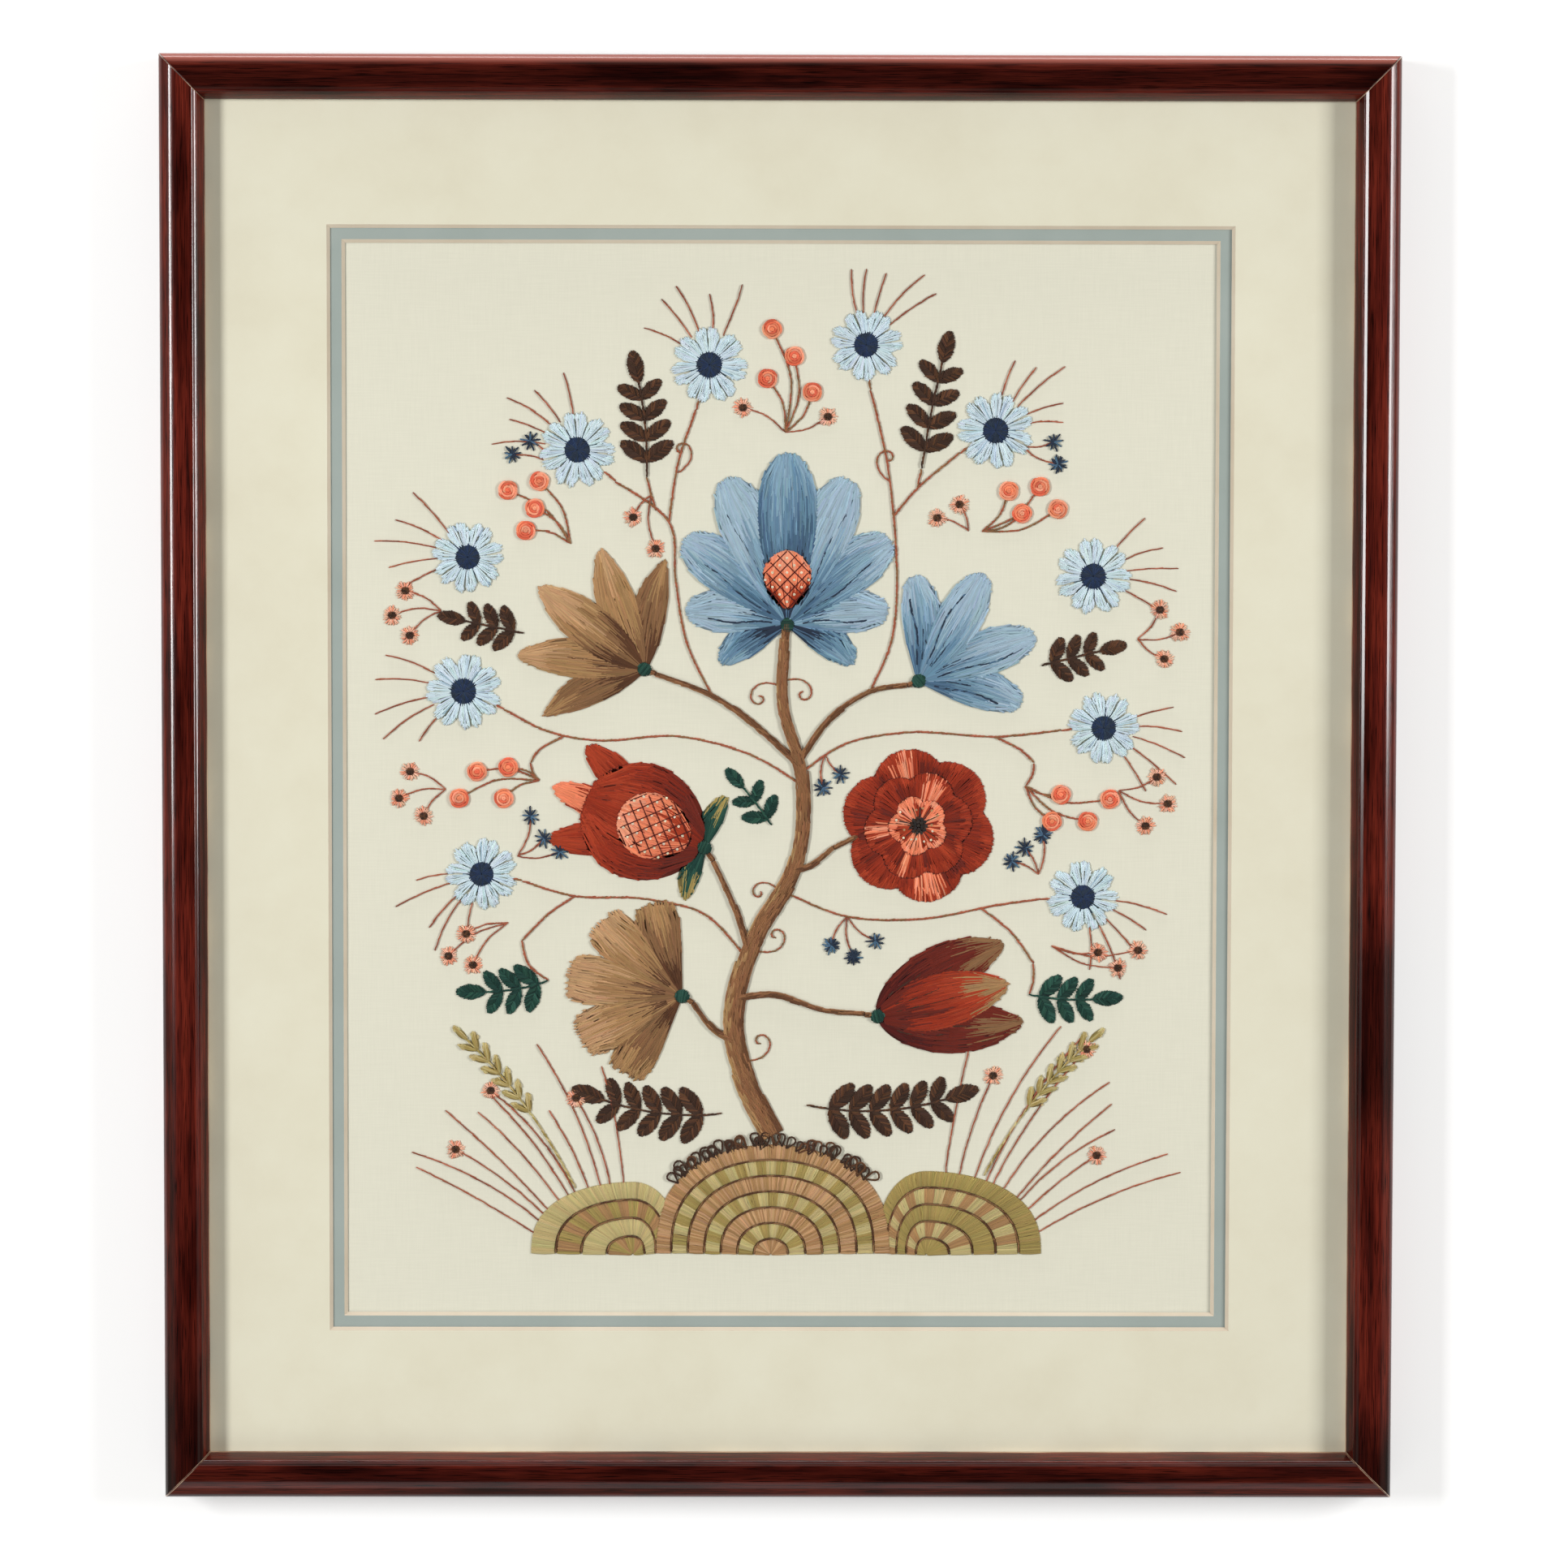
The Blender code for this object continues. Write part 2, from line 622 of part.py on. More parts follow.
# Berries on their stalks
for name, ((x, y), ends) in BERRIES.items():
    pieces = []
    for end_x, end_y in ends:
        knee = ((x + end_x) / 2 + (end_y - y) * 0.12, (y + end_y) / 2 - (end_x - x) * 0.12)
        line = smooth(((x, y), knee, (end_x, end_y)), 3)
        pieces.append((ribbon(line, 1.4, 1.2), STEM_THICK))
    pieces += [(lobed(*end, BERRY_RADIUS, 8, 0.0, 0.0, 1), BERRY_THICK) for end in ends]
    motif(name, "coral", pieces)
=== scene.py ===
"""The framed crewel panel: stitched wool on linen, two bevelled mats and a lacquered moulding."""

import math

import bpy
import numpy as np
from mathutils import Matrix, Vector


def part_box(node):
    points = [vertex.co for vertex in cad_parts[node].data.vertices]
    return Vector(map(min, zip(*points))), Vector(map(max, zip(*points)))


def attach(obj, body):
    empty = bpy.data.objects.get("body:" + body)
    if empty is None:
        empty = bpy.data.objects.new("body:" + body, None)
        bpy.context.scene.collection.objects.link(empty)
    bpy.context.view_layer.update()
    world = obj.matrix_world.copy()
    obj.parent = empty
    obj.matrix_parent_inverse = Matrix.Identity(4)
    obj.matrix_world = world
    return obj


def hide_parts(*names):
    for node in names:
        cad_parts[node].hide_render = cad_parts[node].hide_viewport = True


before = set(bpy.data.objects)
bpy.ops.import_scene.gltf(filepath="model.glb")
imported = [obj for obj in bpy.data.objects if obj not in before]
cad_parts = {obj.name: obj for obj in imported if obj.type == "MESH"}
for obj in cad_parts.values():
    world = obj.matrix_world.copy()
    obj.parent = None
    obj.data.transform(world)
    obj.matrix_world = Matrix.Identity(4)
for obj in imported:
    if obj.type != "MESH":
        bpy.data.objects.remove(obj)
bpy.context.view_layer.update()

# Sizes below are in millimetres and degrees, unless a comment says otherwise
MM = 0.001
rng = np.random.default_rng(23)

# Where the layers lie, read from the solids
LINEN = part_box("linen")
LINEN_TOP = LINEN[1].z
OUTER_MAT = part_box("outer_mat")
INNER_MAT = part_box("inner_mat")
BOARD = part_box("mount_board")
WINDOW_CENTRE = (0.4, -0.2)
OUTER_WINDOW = (405.0, 496.0)
INNER_WINDOW = (392.0, 483.0)
MAT_BEVEL = 1.5

# Frame: its outside, half the gap at each mitre and the worn strip beside it
FRAME_WIDTH = 552.0
FRAME_HEIGHT = 646.0
MITRE_GAP = 0.2
MITRE_WEAR = 0.32
# The moulding from its outer back edge round to its inner back edge: in from the outer side, up from the back
MOULDING_SIDE = ((0.0, 0.0), (0.0, 18.0))
MOULDING_FACE = (
    (0.0, 18.2), (0.05, 19.1), (0.3, 20.2), (0.8, 21.2), (1.4, 21.9), (2.1, 22.5), (2.7, 22.9), (3.7, 23.47),
    (4.7, 24.0), (5.6, 24.36), (7.2, 24.78), (9.2, 25.0), (11.4, 24.8), (13.2, 24.4), (14.4, 24.08),
    (15.0, 23.95), (15.25, 24.0), (15.6, 24.16), (16.1, 24.4), (16.6, 24.61), (16.95, 24.7), (17.2, 24.62),
    (17.7, 24.0), (18.4, 22.4), (19.3, 19.8), (19.95, 17.5),
)
MOULDING_LIP = ((20.0, 17.3), (20.0, 15.0), (13.5, 15.0), (13.5, 0.0))
# Where the rabbet, the steep sight edge and its thin lip begin, and how high they reach
RABBET_FROM, RABBET_TOP = 13.4, 15.1
SIGHT_FROM, SIGHT_TOP = 17.7, 24.0
LIP_FROM, LIP_TOP = 19.9, 17.6

# Yarn: the width of a laid strand, the distance between neighbours, and the sides and height of its section
WOOL = 0.86
FLOSS = 0.72
SPACING = 0.68
SIDES = 5
STRAND_HEIGHT = 0.64
# How far a stitch runs on under the motif above it, and the shortest stitch that is still made
TUCK = 0.7
SHORTEST = 1.1
# A straight stitch at five places along it: its height over the cloth, and how far it sways
STITCH_RISE = (0.06, 0.34, 0.40, 0.34, 0.06)
STITCH_SWAY = (0, 1, 1.4, 1, 0)
# Padding: its bottom and top over the cloth, and how much darker than the yarn it is painted, as painted shade between
# the strands
PAD_HEIGHTS = (0.02, 0.16)
PAD_PAINTED_SHADE = 0.65

# Yarn colours, as seen on the shade card
RUST = (150, 50, 28)
DEEP_RUST = (128, 41, 24)
BRIGHT_RUST = (168, 62, 36)
MAROON = (108, 38, 28)
DEEP_MAROON = (86, 28, 24)
CORAL = (236, 136, 100)
PALE_CORAL = (240, 158, 126)
DEEP_CORAL = (226, 106, 78)
PINK = (236, 184, 158)
CREAM = (232, 222, 196)
PALE_BLUE = (206, 224, 232)
LIGHT_BLUE = (194, 214, 225)
SOFT_BLUE = (160, 184, 200)
MID_BLUE = (132, 162, 182)
BLUE = (104, 138, 162)
DEEP_BLUE = (76, 106, 132)
NAVY = (42, 54, 72)
INK_BLUE = (38, 54, 84)
LIGHT_TAN = (192, 152, 112)
TAN = (168, 130, 88)
BROWN_TAN = (136, 100, 68)
CHOCOLATE = (92, 60, 40)
DARK_BROWN = (66, 45, 34)
CHARCOAL = (48, 45, 44)
PALE_CHARCOAL = (60, 52, 48)
DARK_GREEN = (28, 62, 54)
GREEN = (42, 80, 68)
OLIVE = (162, 142, 84)
KHAKI = (190, 174, 122)
STALK = (158, 88, 64)
PALE_STALK = (172, 100, 76)
DEEP_STALK = (140, 76, 58)
BARK = (140, 98, 66)
DEEP_BARK = (108, 72, 48)


# Design: the same motifs as the solids, in millimetres from the middle of the window

GROUND = -214
# Hillocks: middle, reach to the left and to the right, height
HILLOCKS = {
    "hill_middle": (-4, 52, 54, 50),
    "hill_left": (-66, 46, 20, 33),
    "hill_right": (66, 22, 52, 38),
}
# Branches: width at the start and at the end, then points along the middle
BRANCHES = (
    (11.0, 4.5, ((-3, -160), (-15, -136), (-21, -106), (-11, -70), (7, -38), (10, 0), (1, 34), (2, 64))),
    (4.9, 3.4, ((1.3, 50), (2, 62), (3, 71))),
    (3.4, 2.4, ((-20, -118), (-30, -112), (-39, -100))),
    (3.4, 2.4, ((-20, -98), (-2, -96), (18, -103), (38, -105))),
    (3.4, 2.4, ((-14, -78), (-20, -58), (-30, -36))),
    (3.4, 2.4, ((6, -40), (14, -38), (24, -30))),
    (3.4, 2.4, ((9, 6), (-8, 22), (-30, 38), (-56, 48))),
    (3.4, 2.4, ((9, 10), (22, 28), (40, 40), (57, 43))),
    (1.4, 1.3, ((-15, -80), (-34, -60), (-62, -53), (-92, -52), (-116, -45))),
    (1.4, 1.3, ((-92, -52), (-104, -60), (-116, -72))),
    (1.4, 1.3, ((10, -2), (-14, 12), (-46, 20), (-80, 18), (-104, 22), (-124, 32))),
    (1.4, 1.3, ((-97, 20), (-108, 14), (-112, 8))),
    (1.4, 1.3, ((2, -50), (30, -61), (64, -62), (96, -56), (117, -53))),
    (1.4, 1.3, ((90, -57), (104, -68), (114, -82))),
    (1.4, 1.3, ((10, 4), (30, 17), (60, 22), (96, 20), (126, 23))),
    (1.4, 1.3, ((96, 20), (108, 14), (114, 8))),
    (1.4, 1.3, ((-30, 37), (-42, 62), (-47, 90), (-50, 116), (-74, 134))),
    (1.4, 1.3, ((-50, 116), (-46, 142), (-38, 166))),
    (1.4, 1.3, ((40, 40), (50, 64), (52, 96), (48, 140), (40, 175))),
    (1.4, 1.3, ((50, 118), (62, 132), (80, 147))),
)
# Tendrils: root x, root y, heading, length, curl
TENDRILS = (
    (-17, -126, -8, 44, 400),
    (0, -50, 128, 34, 380),
    (1, 42, 150, 44, 420),
    (0, 44, 28, 42, -400),
    (-46, 138, 28, 38, 400),
    (49, 134, 150, 40, -400),
    (-12, -76, -22, 44, 400),
)
# Blooms: root x, root y, heading, size, kind of petals
BLOOMS = {
    "palmette_petals": (3, 70, 90, 77, "palmette"),
    "pomegranate_skin": (-34, -30, 158, 58, "pomegranate"),
    "lily": (-61, 50, 142, 60, "lily"),
    "carnation": (-44, -97, 170, 52, "carnation"),
    "tulip": (44, -106, 14, 66, "tulip"),
    "bellflower": (62, 45, 40, 57, "bell"),
}
# Shades of a petal, from its tip to its root
BLUES = (SOFT_BLUE, SOFT_BLUE, MID_BLUE, BLUE)
DEEP_BLUES = (SOFT_BLUE, MID_BLUE, BLUE, DEEP_BLUE)
NAVY_BLUES = (MID_BLUE, BLUE, DEEP_BLUE, NAVY)
MAROONS = (BRIGHT_RUST, RUST, MAROON, DEEP_MAROON)
TANS = (LIGHT_TAN, TAN, TAN, BROWN_TAN)
DEEP_TANS = (TAN, BROWN_TAN, BROWN_TAN, CHOCOLATE)


def pair(turn, length, width, bend, *rest):
    """The same petal on both sides of a bloom, the left one lower."""
    return (-turn, length, width, -bend, *rest), (turn, length, width, bend, *rest)


# Petals, the lowest first: turn, length, width, bend, swell at the root and tip, shades
PETALS = {
    "palmette": (
        *pair(96, 0.46, 0.20, 50, 0.8, 0.6, NAVY_BLUES),
        *pair(68, 0.60, 0.26, 30, 0.9, 0.5, BLUES),
        *pair(43, 0.78, 0.30, 16, 0.9, 0.45, DEEP_BLUES),
        *pair(20, 0.92, 0.32, 6, 0.9, 0.45, BLUES),
        (0, 1.0, 0.36, 0, 0.9, 0.5, NAVY_BLUES),
    ),
    "pomegranate": (
        *pair(72, 0.44, 0.18, 40, 0.8, 0.7, (OLIVE, GREEN, DARK_GREEN)),
        *pair(14, 1.2, 0.26, 10, 1.6, 0.6, MAROONS),
        (0, 1.26, 0.24, 0, 1.6, 0.6, (CORAL, RUST, MAROON)),
        (0, 1.0, 0.92, 0, 0.6, 0.5, (RUST, BRIGHT_RUST, RUST, DEEP_RUST, MAROON)),
    ),
    "lily": (
        *pair(50, 0.84, 0.26, 26, 0.7, 0.8, DEEP_TANS),
        *pair(25, 0.96, 0.30, 14, 0.7, 0.7, TANS),
        (0, 1.0, 0.34, 0, 0.7, 0.7, (LIGHT_TAN, LIGHT_TAN, TAN, BROWN_TAN, CHOCOLATE)),
    ),
    "carnation": (
        *pair(58, 0.84, 0.38, 10, 1.1, 0.25, DEEP_TANS),
        *pair(30, 0.95, 0.42, 5, 1.1, 0.25, TANS),
        (0, 1.0, 0.44, 0, 1.1, 0.25, (LIGHT_TAN, TAN, BROWN_TAN)),
    ),
    "tulip": (
        *pair(27, 1.0, 0.38, -22, 0.6, 0.7, (BROWN_TAN, MAROON, MAROON, DEEP_MAROON)),
        (0, 0.92, 0.40, 0, 0.6, 0.7, (TAN, BRIGHT_RUST, RUST, MAROON)),
    ),
    "bell": (
        *pair(38, 0.84, 0.32, 30, 0.8, 0.5, DEEP_BLUES),
        *pair(14, 0.98, 0.36, 10, 0.8, 0.5, BLUES),
    ),
}
CUP_RADIUS = 3.2
# Hearts: node, length and width against the bloom's size, swell at the root and tip
BLOOM_HEARTS = {
    "palmette_petals": ("palmette_heart", 0.44, 0.30, 0.7, 0.6),
    "pomegranate_skin": ("pomegranate_heart", 0.72, 0.54, 0.6, 0.5),
}
# Rose, from its rim inwards: radius, petals, depth of the notches between them, turn
ROSE_CENTRE = (62, -20)
ROSE = {
    "rose_outer": (35, 6, 0.16, 0.2),
    "rose_inner": (25, 6, 0.16, 0.7),
    "rose_heart": (14, 5, 0.20, 0.1),
}
# Small flowers: x, y, radius
SMALL_FLOWERS = (
    (-32, 186, 18),
    (38, 195, 17),
    (96, 157, 18),
    (-91, 148, 18),
    (-140, 100, 17),
    (-142, 40, 18),
    (140, 92, 18),
    (145, 24, 17),
    (-134, -42, 17),
    (136, -52, 17),
)
SMALL_LOBES = 7
SMALL_NOTCH = 0.28
SMALL_TURN = 0.3
SMALL_HEART = 0.36
# Leaf sprays: root x, root y, heading, length, bend, pairs of leaves, length of a leaf
SPRAYS = {
    "fern_1": (-60, 136, 88, 44, 14, 4, 15),
    "fern_2": (63, 140, 82, 50, -6, 4, 15),
    "fern_3": (-115, 66, 168, 28, 0, 3, 13),
    "fern_4": (117, 52, 14, 28, 0, 3, 13),
    "fern_5": (-26, -150, 186, 56, -26, 5, 16),
    "fern_6": (12, -146, -12, 66, 30, 6, 16),
    "leaves_1": (-4, -20, 122, 22, 10, 2, 12),
    "leaves_2": (112, -96, -12, 30, 16, 3, 14),
    "leaves_3": (-104, -90, 200, 30, -20, 3, 14),
}
LEAF_WIDTH = 0.5
LEAF_SWELL = 0.7
LEAF_SPREAD = 46
LEAF_START = 0.16
# Wheat: root x, root y, heading, length, bend, pairs of grains, length of a grain
WHEAT = {
    "wheat_1": (-92, -184, 116, 84, 20, 6, 9),
    "wheat_2": (92, -178, 62, 78, -20, 6, 9),
}
GRAIN_START = 0.48
GRAIN_WIDTH = 0.42
GRAIN_SPREAD = 30
# Berries: where the stalks part, then the middle of each berry
BERRIES = {
    "berries_1": ((2, 156), ((-6, 180), (6, 190), (-4, 202), (14, 174))),
    "berries_2": ((-108, 0), ((-124, -8), (-136, 4), (-122, 6), (-144, -8))),
    "berries_3": ((110, -2), ((126, -6), (138, -18), (122, -18), (148, -8))),
    "berries_4": ((90, 112), ((108, 120), (116, 132), (102, 130), (124, 122))),
    "berries_5": ((-94, 106), ((-110, 122), (-122, 130), (-108, 134), (-114, 112))),
}
BERRY_RADIUS = 4.6


# Outlines, as arrays of points in millimetres

def turned(points, x, y, angle):
    """Points turned about the origin and then moved to x, y."""
    c, s = math.cos(angle), math.sin(angle)
    return np.stack([x + c * points[..., 0] - s * points[..., 1], y + s * points[..., 0] + c * points[..., 1]], -1)


def bent(u, side, length, bend):
    """Points at u along an arc that turns by bend in all, and side to its left."""
    u, side = np.broadcast_arrays(np.asarray(u, float), np.asarray(side, float))
    if abs(bend) < 1e-4:
        return np.stack([u * length, side], -1)
    radius = length / bend
    return np.stack([(radius - side) * np.sin(u * bend), radius - (radius - side) * np.cos(u * bend)], -1)


def swell(u, root, tip):
    """How wide a petal is at u, against its widest: small numbers make a blunt end."""
    peak = root / (root + tip)
    u = np.clip(u, 0, 1)
    return (u ** root) * ((1 - u) ** tip) / (peak ** root * (1 - peak) ** tip)


def blade(foot, angle, length, width, bend, root=LEAF_SWELL, tip=LEAF_SWELL, steps=24):
    """The outline of a petal or leaf that grows from its foot."""
    u = 0.5 - 0.5 * np.cos(np.linspace(0, math.pi, steps))
    half = swell(u, root, tip) * width / 2
    left = bent(u, half, length, bend)
    right = bent(u[::-1], -half[::-1], length, bend)
    return turned(np.concatenate([left, right[1:-1]]), *foot, angle)


def lobe_reach(angle, radius, lobes, notch, turn):
    """How far a lobed edge lies from its middle in each direction."""
    return radius * (1 - notch * (1 - np.abs(np.sin(lobes * (angle - turn) / 2)) ** 0.7))


def lobed(x, y, radius, lobes, notch, turn, steps=84):
    angle = np.linspace(0, 2 * math.pi, steps, endpoint=False)
    reach = lobe_reach(angle, radius, lobes, notch, turn)
    return np.stack([x + reach * np.cos(angle), y + reach * np.sin(angle)], -1)


def disc(x, y, radius, steps=24):
    return lobed(x, y, radius, 8, 0.0, 0.0, steps)


def way_of(angle):
    """A step of one millimetre in each direction."""
    return np.stack([np.cos(angle), np.sin(angle)], -1)


def mound_point(angle, hill, share):
    """Points on a hillock, from its middle at share 0 to its edge at share 1."""
    middle, left, right, height = hill
    reach = np.where(np.cos(angle) > 0, right, left)
    return np.stack([middle + share * reach * np.cos(angle),
                     GROUND + share * height * np.abs(np.sin(angle)) ** 0.75], -1)


def smooth(points, per_span=10):
    """Points on a smooth curve through the given ones."""
    p = np.array([points[0], *points, points[-1]], float)
    t = np.arange(per_span)[:, None] / per_span
    line = [0.5 * (2 * b + (c - a) * t + (2 * a - 5 * b + 4 * c - d) * t ** 2 + (3 * b - a - 3 * c + d) * t ** 3)
            for a, b, c, d in zip(p, p[1:], p[2:], p[3:])]
    return np.concatenate([*line, p[-1:]])


def bowed(start, end, bow):
    """A line from start to end that bows to its right."""
    (x, y), (end_x, end_y) = start, end
    knee = ((x + end_x) / 2 + (end_y - y) * bow, (y + end_y) / 2 - (end_x - x) * bow)
    return smooth((start, knee, end))


def run_along(line):
    """How far along a line each of its points lies."""
    return np.concatenate([[0], np.cumsum(np.linalg.norm(np.diff(line, axis=0), axis=1))])


def tendril(x, y, heading, length, curl, steps=30):
    """A line that curls more and more tightly towards its end."""
    share = np.arange(steps) / steps
    step = length / steps * (1 - 0.6 * share)
    turn = math.radians(heading) + np.cumsum(math.radians(curl) * (0.25 + 1.5 * share) / steps)
    line = np.cumsum(np.stack([step * np.cos(turn), step * np.sin(turn)], -1), 0)
    return np.concatenate([[(x, y)], line + (x, y)])


def inside(points, outline):
    """Which points lie inside an outline."""
    x, y = points[..., 0, None], points[..., 1, None]
    ax, ay = outline[:, 0], outline[:, 1]
    bx, by = np.roll(ax, -1), np.roll(ay, -1)
    rise = np.where(by == ay, 1e-9, by - ay)
    crossed = ((ay > y) != (by > y)) & (x < (bx - ax) * (y - ay) / rise + ax)
    return crossed.sum(-1) % 2 == 1


def depth_in(points, outline):
    """How far each point lies from the nearest edge of an outline."""
    a, b = outline, np.roll(outline, -1, 0)
    run = b - a
    share = ((points[..., None, :] - a) * run).sum(-1) / np.maximum((run ** 2).sum(-1), 1e-9)
    nearest = a + run * np.clip(share, 0, 1)[..., None]
    return np.sqrt(((points[..., None, :] - nearest) ** 2).sum(-1)).min(-1)


# Stitches

def linear(colour):
    """A colour of 0 to 255 as the shaders count it."""
    c = np.array(colour, float) / 255
    return np.where(c <= 0.04045, c / 12.92, ((c + 0.055) / 1.055) ** 2.4)


def dyed(shades, choice, spread=0.09):
    """One colour for each strand, with the small differences between lengths of dyed yarn."""
    colours = linear(shades)[choice]
    light = rng.normal(1, spread, len(colours)).clip(0.75, 1.3)
    tint = rng.normal(1, 0.025, colours.shape)
    return colours * light[:, None] * tint


def mixed(shades, count):
    """Colours for so many strands, each of a shade taken at random."""
    return dyed(shades, rng.integers(0, len(shades), count))


def trimmed(start, end, clear=(), within=None):
    """Cuts straight stitches to just under some outlines, and back to one; returns them and which were kept."""
    share = np.linspace(0, 1, 25)
    points = start[:, None] + (end - start)[:, None] * share[:, None]
    free = np.ones(points.shape[:2], bool)
    if within is not None:
        free &= inside(points, within)
    for other in clear:
        under = inside(points, other)
        under[under] = depth_in(points[under], other) > TUCK
        free &= ~under
    first, last = np.zeros(len(start)), np.ones(len(start))
    for i in np.flatnonzero(~free.all(1)):
        edges = np.flatnonzero(np.diff(np.concatenate([[0], free[i].astype(int), [0]])))
        runs = edges.reshape(-1, 2)
        if not len(runs):
            last[i] = 0
            continue
        low, high = runs[(runs[:, 1] - runs[:, 0]).argmax()]
        first[i], last[i] = share[low], share[high - 1]
    run = end - start
    kept = (last - first) * np.linalg.norm(run, axis=1) > SHORTEST
    new_start = start + run * first[:, None]
    new_end = start + run * last[:, None]
    return new_start[kept], new_end[kept], kept


class Needlework:
    """The strands of one motif, laid one by one and then made one piece."""

    def __init__(self):
        self.runs = []
        self.shaded_pads = []

    def pad(self, outline, colours):
        """A low layer of padding under the stitches, so that no linen shows between them, given colours darker than the
        yarn as painted shade between the strands.
        """
        self.shaded_pads.append((outline, np.broadcast_to(colours, (len(outline), 3))))

    def strands(self, paths, widths, colours, taper=0.5):
        self.runs.append((np.asarray(paths, float), np.asarray(widths, float), np.asarray(colours, float), taper))

    def straight(self, start, end, colours, width=WOOL, outline=None, puff=0.45, level=0.0):
        """Straight stitches, each one rising out of the cloth, arching and going down again."""
        if not len(start):
            return
        length = np.linalg.norm(end - start, axis=1)
        dip = np.clip(0.55 / np.maximum(length, 1e-6), 0.03, 0.3)
        share = np.stack([0 * dip, dip, 0 * dip + 0.5, 1 - dip, 0 * dip + 1], 1)
        across = (end - start)[:, ::-1] * (-1, 1) / np.maximum(length, 1e-6)[:, None]
        sway = rng.normal(0, 0.08, (len(start), 5)) * STITCH_SWAY
        flat = start[:, None] + (end - start)[:, None] * share[..., None] + across[:, None] * sway[..., None]
        rise = np.zeros(share.shape) + STITCH_RISE
        rise = rise + (level + rng.normal(0, 0.035, len(start)))[:, None] * (0.3, 1, 1, 1, 0.3)
        if outline is not None:
            rise = rise + puff * (1 - np.exp(-depth_in(flat, outline) / 2.2)) * (0.6, 1, 1, 1, 0.6)
        widths = width * rng.normal(1, 0.05, len(start)).clip(0.85, 1.15)
        self.strands(np.concatenate([flat, rise[..., None]], -1), widths, colours)

    def knots(self, places, radius, shades, level=0.35, width=0.72):
        """French knots: one turn and a bit of yarn round the needle."""
        places = np.asarray(places, float)
        turn = np.linspace(0, 2.25 * math.pi, 9)
        begin = rng.uniform(0, 2 * math.pi, len(places))
        angle = begin[:, None] + turn
        path = np.stack([places[:, None, 0] + radius * np.cos(angle),
                         places[:, None, 1] + radius * np.sin(angle),
                         level + 0.3 + 0.25 * turn / turn[-1] + 0 * angle], -1)
        self.strands(path, np.full(len(places), width), mixed(shades, len(places)), 0.7)

    def piece(self, name, nodes, finish):
        """All the strands as one mesh with a colour for each, standing for the solids named."""
        points, faces, colours = [], [], []
        used = 0
        for paths, widths, shades, taper in self.runs:
            count, stops = paths.shape[:2]
            along = np.gradient(paths, axis=1)
            along /= np.maximum(np.linalg.norm(along, axis=2, keepdims=True), 1e-9)
            side = np.stack([-along[..., 1], along[..., 0], 0 * along[..., 0]], -1)
            side /= np.maximum(np.linalg.norm(side, axis=2, keepdims=True), 1e-9)
            up = np.cross(along, side)
            share = np.abs(np.linspace(-1, 1, stops))
            slim = 1 - (1 - taper) * share ** 6
            half = (widths[:, None] * slim)[..., None, None] / 2
            tall = half * STRAND_HEIGHT / WOOL
            angle = 2 * math.pi * (np.arange(SIDES) + 0.5) / SIDES - math.pi / 2
            ring = (paths[:, :, None] + side[:, :, None] * half * np.cos(angle)[:, None]
                    + up[:, :, None] * tall * np.sin(angle)[:, None])
            points.append(ring.reshape(-1, 3))
            # Painted shade: each strand is darkened towards its ends, where it goes down into the cloth
            tone = (1 - 0.16 * share ** 4)[:, None, None]
            colours.append((shades[:, None, None] * tone * np.ones((1, 1, SIDES, 1))).reshape(-1, 3))
            base = used + (np.arange(count) * stops * SIDES)[:, None, None]
            ring_start = (np.arange(stops - 1) * SIDES)[:, None]
            here = np.arange(SIDES)
            after = (here + 1) % SIDES
            low = base + ring_start
            walls = np.stack([low + here, low + after, low + SIDES + after, low + SIDES + here], -1)
            faces += walls.reshape(-1, 4).tolist()
            faces += (base[:, 0] + here[::-1]).tolist()
            faces += (base[:, 0] + (stops - 1) * SIDES + here).tolist()
            used += count * stops * SIDES
        for outline, shades in self.shaded_pads:
            count = len(outline)
            for height in PAD_HEIGHTS:
                points.append(np.column_stack([outline, np.full(count, height)]))
                colours.append(shades)
            here = used + np.arange(count)
            after = np.roll(here, -1)
            faces += [here[::-1].tolist(), (here + count).tolist()]
            faces += np.stack([here, after, after + count, here + count], -1).tolist()
            used += 2 * count
        place = np.concatenate(points)
        place[:, 0] += WINDOW_CENTRE[0]
        place[:, 1] += WINDOW_CENTRE[1]
        place *= MM
        place[:, 2] += LINEN_TOP
        mesh = bpy.data.meshes.new(name)
        mesh.from_pydata(place.tolist(), [], faces)
        shade = np.ones((used, 4), np.float32)
        shade[:, :3] = np.concatenate(colours).clip(0, 1)
        mesh.color_attributes.new("Yarn", "FLOAT_COLOR", "POINT").data.foreach_set("color", shade.ravel())
        mesh.shade_smooth()
        mesh.materials.append(finish)
        sewn = bpy.data.objects.new(name, mesh)
        bpy.context.scene.collection.objects.link(sewn)
        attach(sewn, "root")
        if nodes:
            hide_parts(*nodes)


def shade_at(share, shades, blur=0.06):
    """Picks a shade by how far down a petal a stitch lies, with a broken edge between shades."""
    share = share + rng.normal(0, blur, np.shape(share))
    return np.clip((share * len(shades)).astype(int), 0, len(shades) - 1)


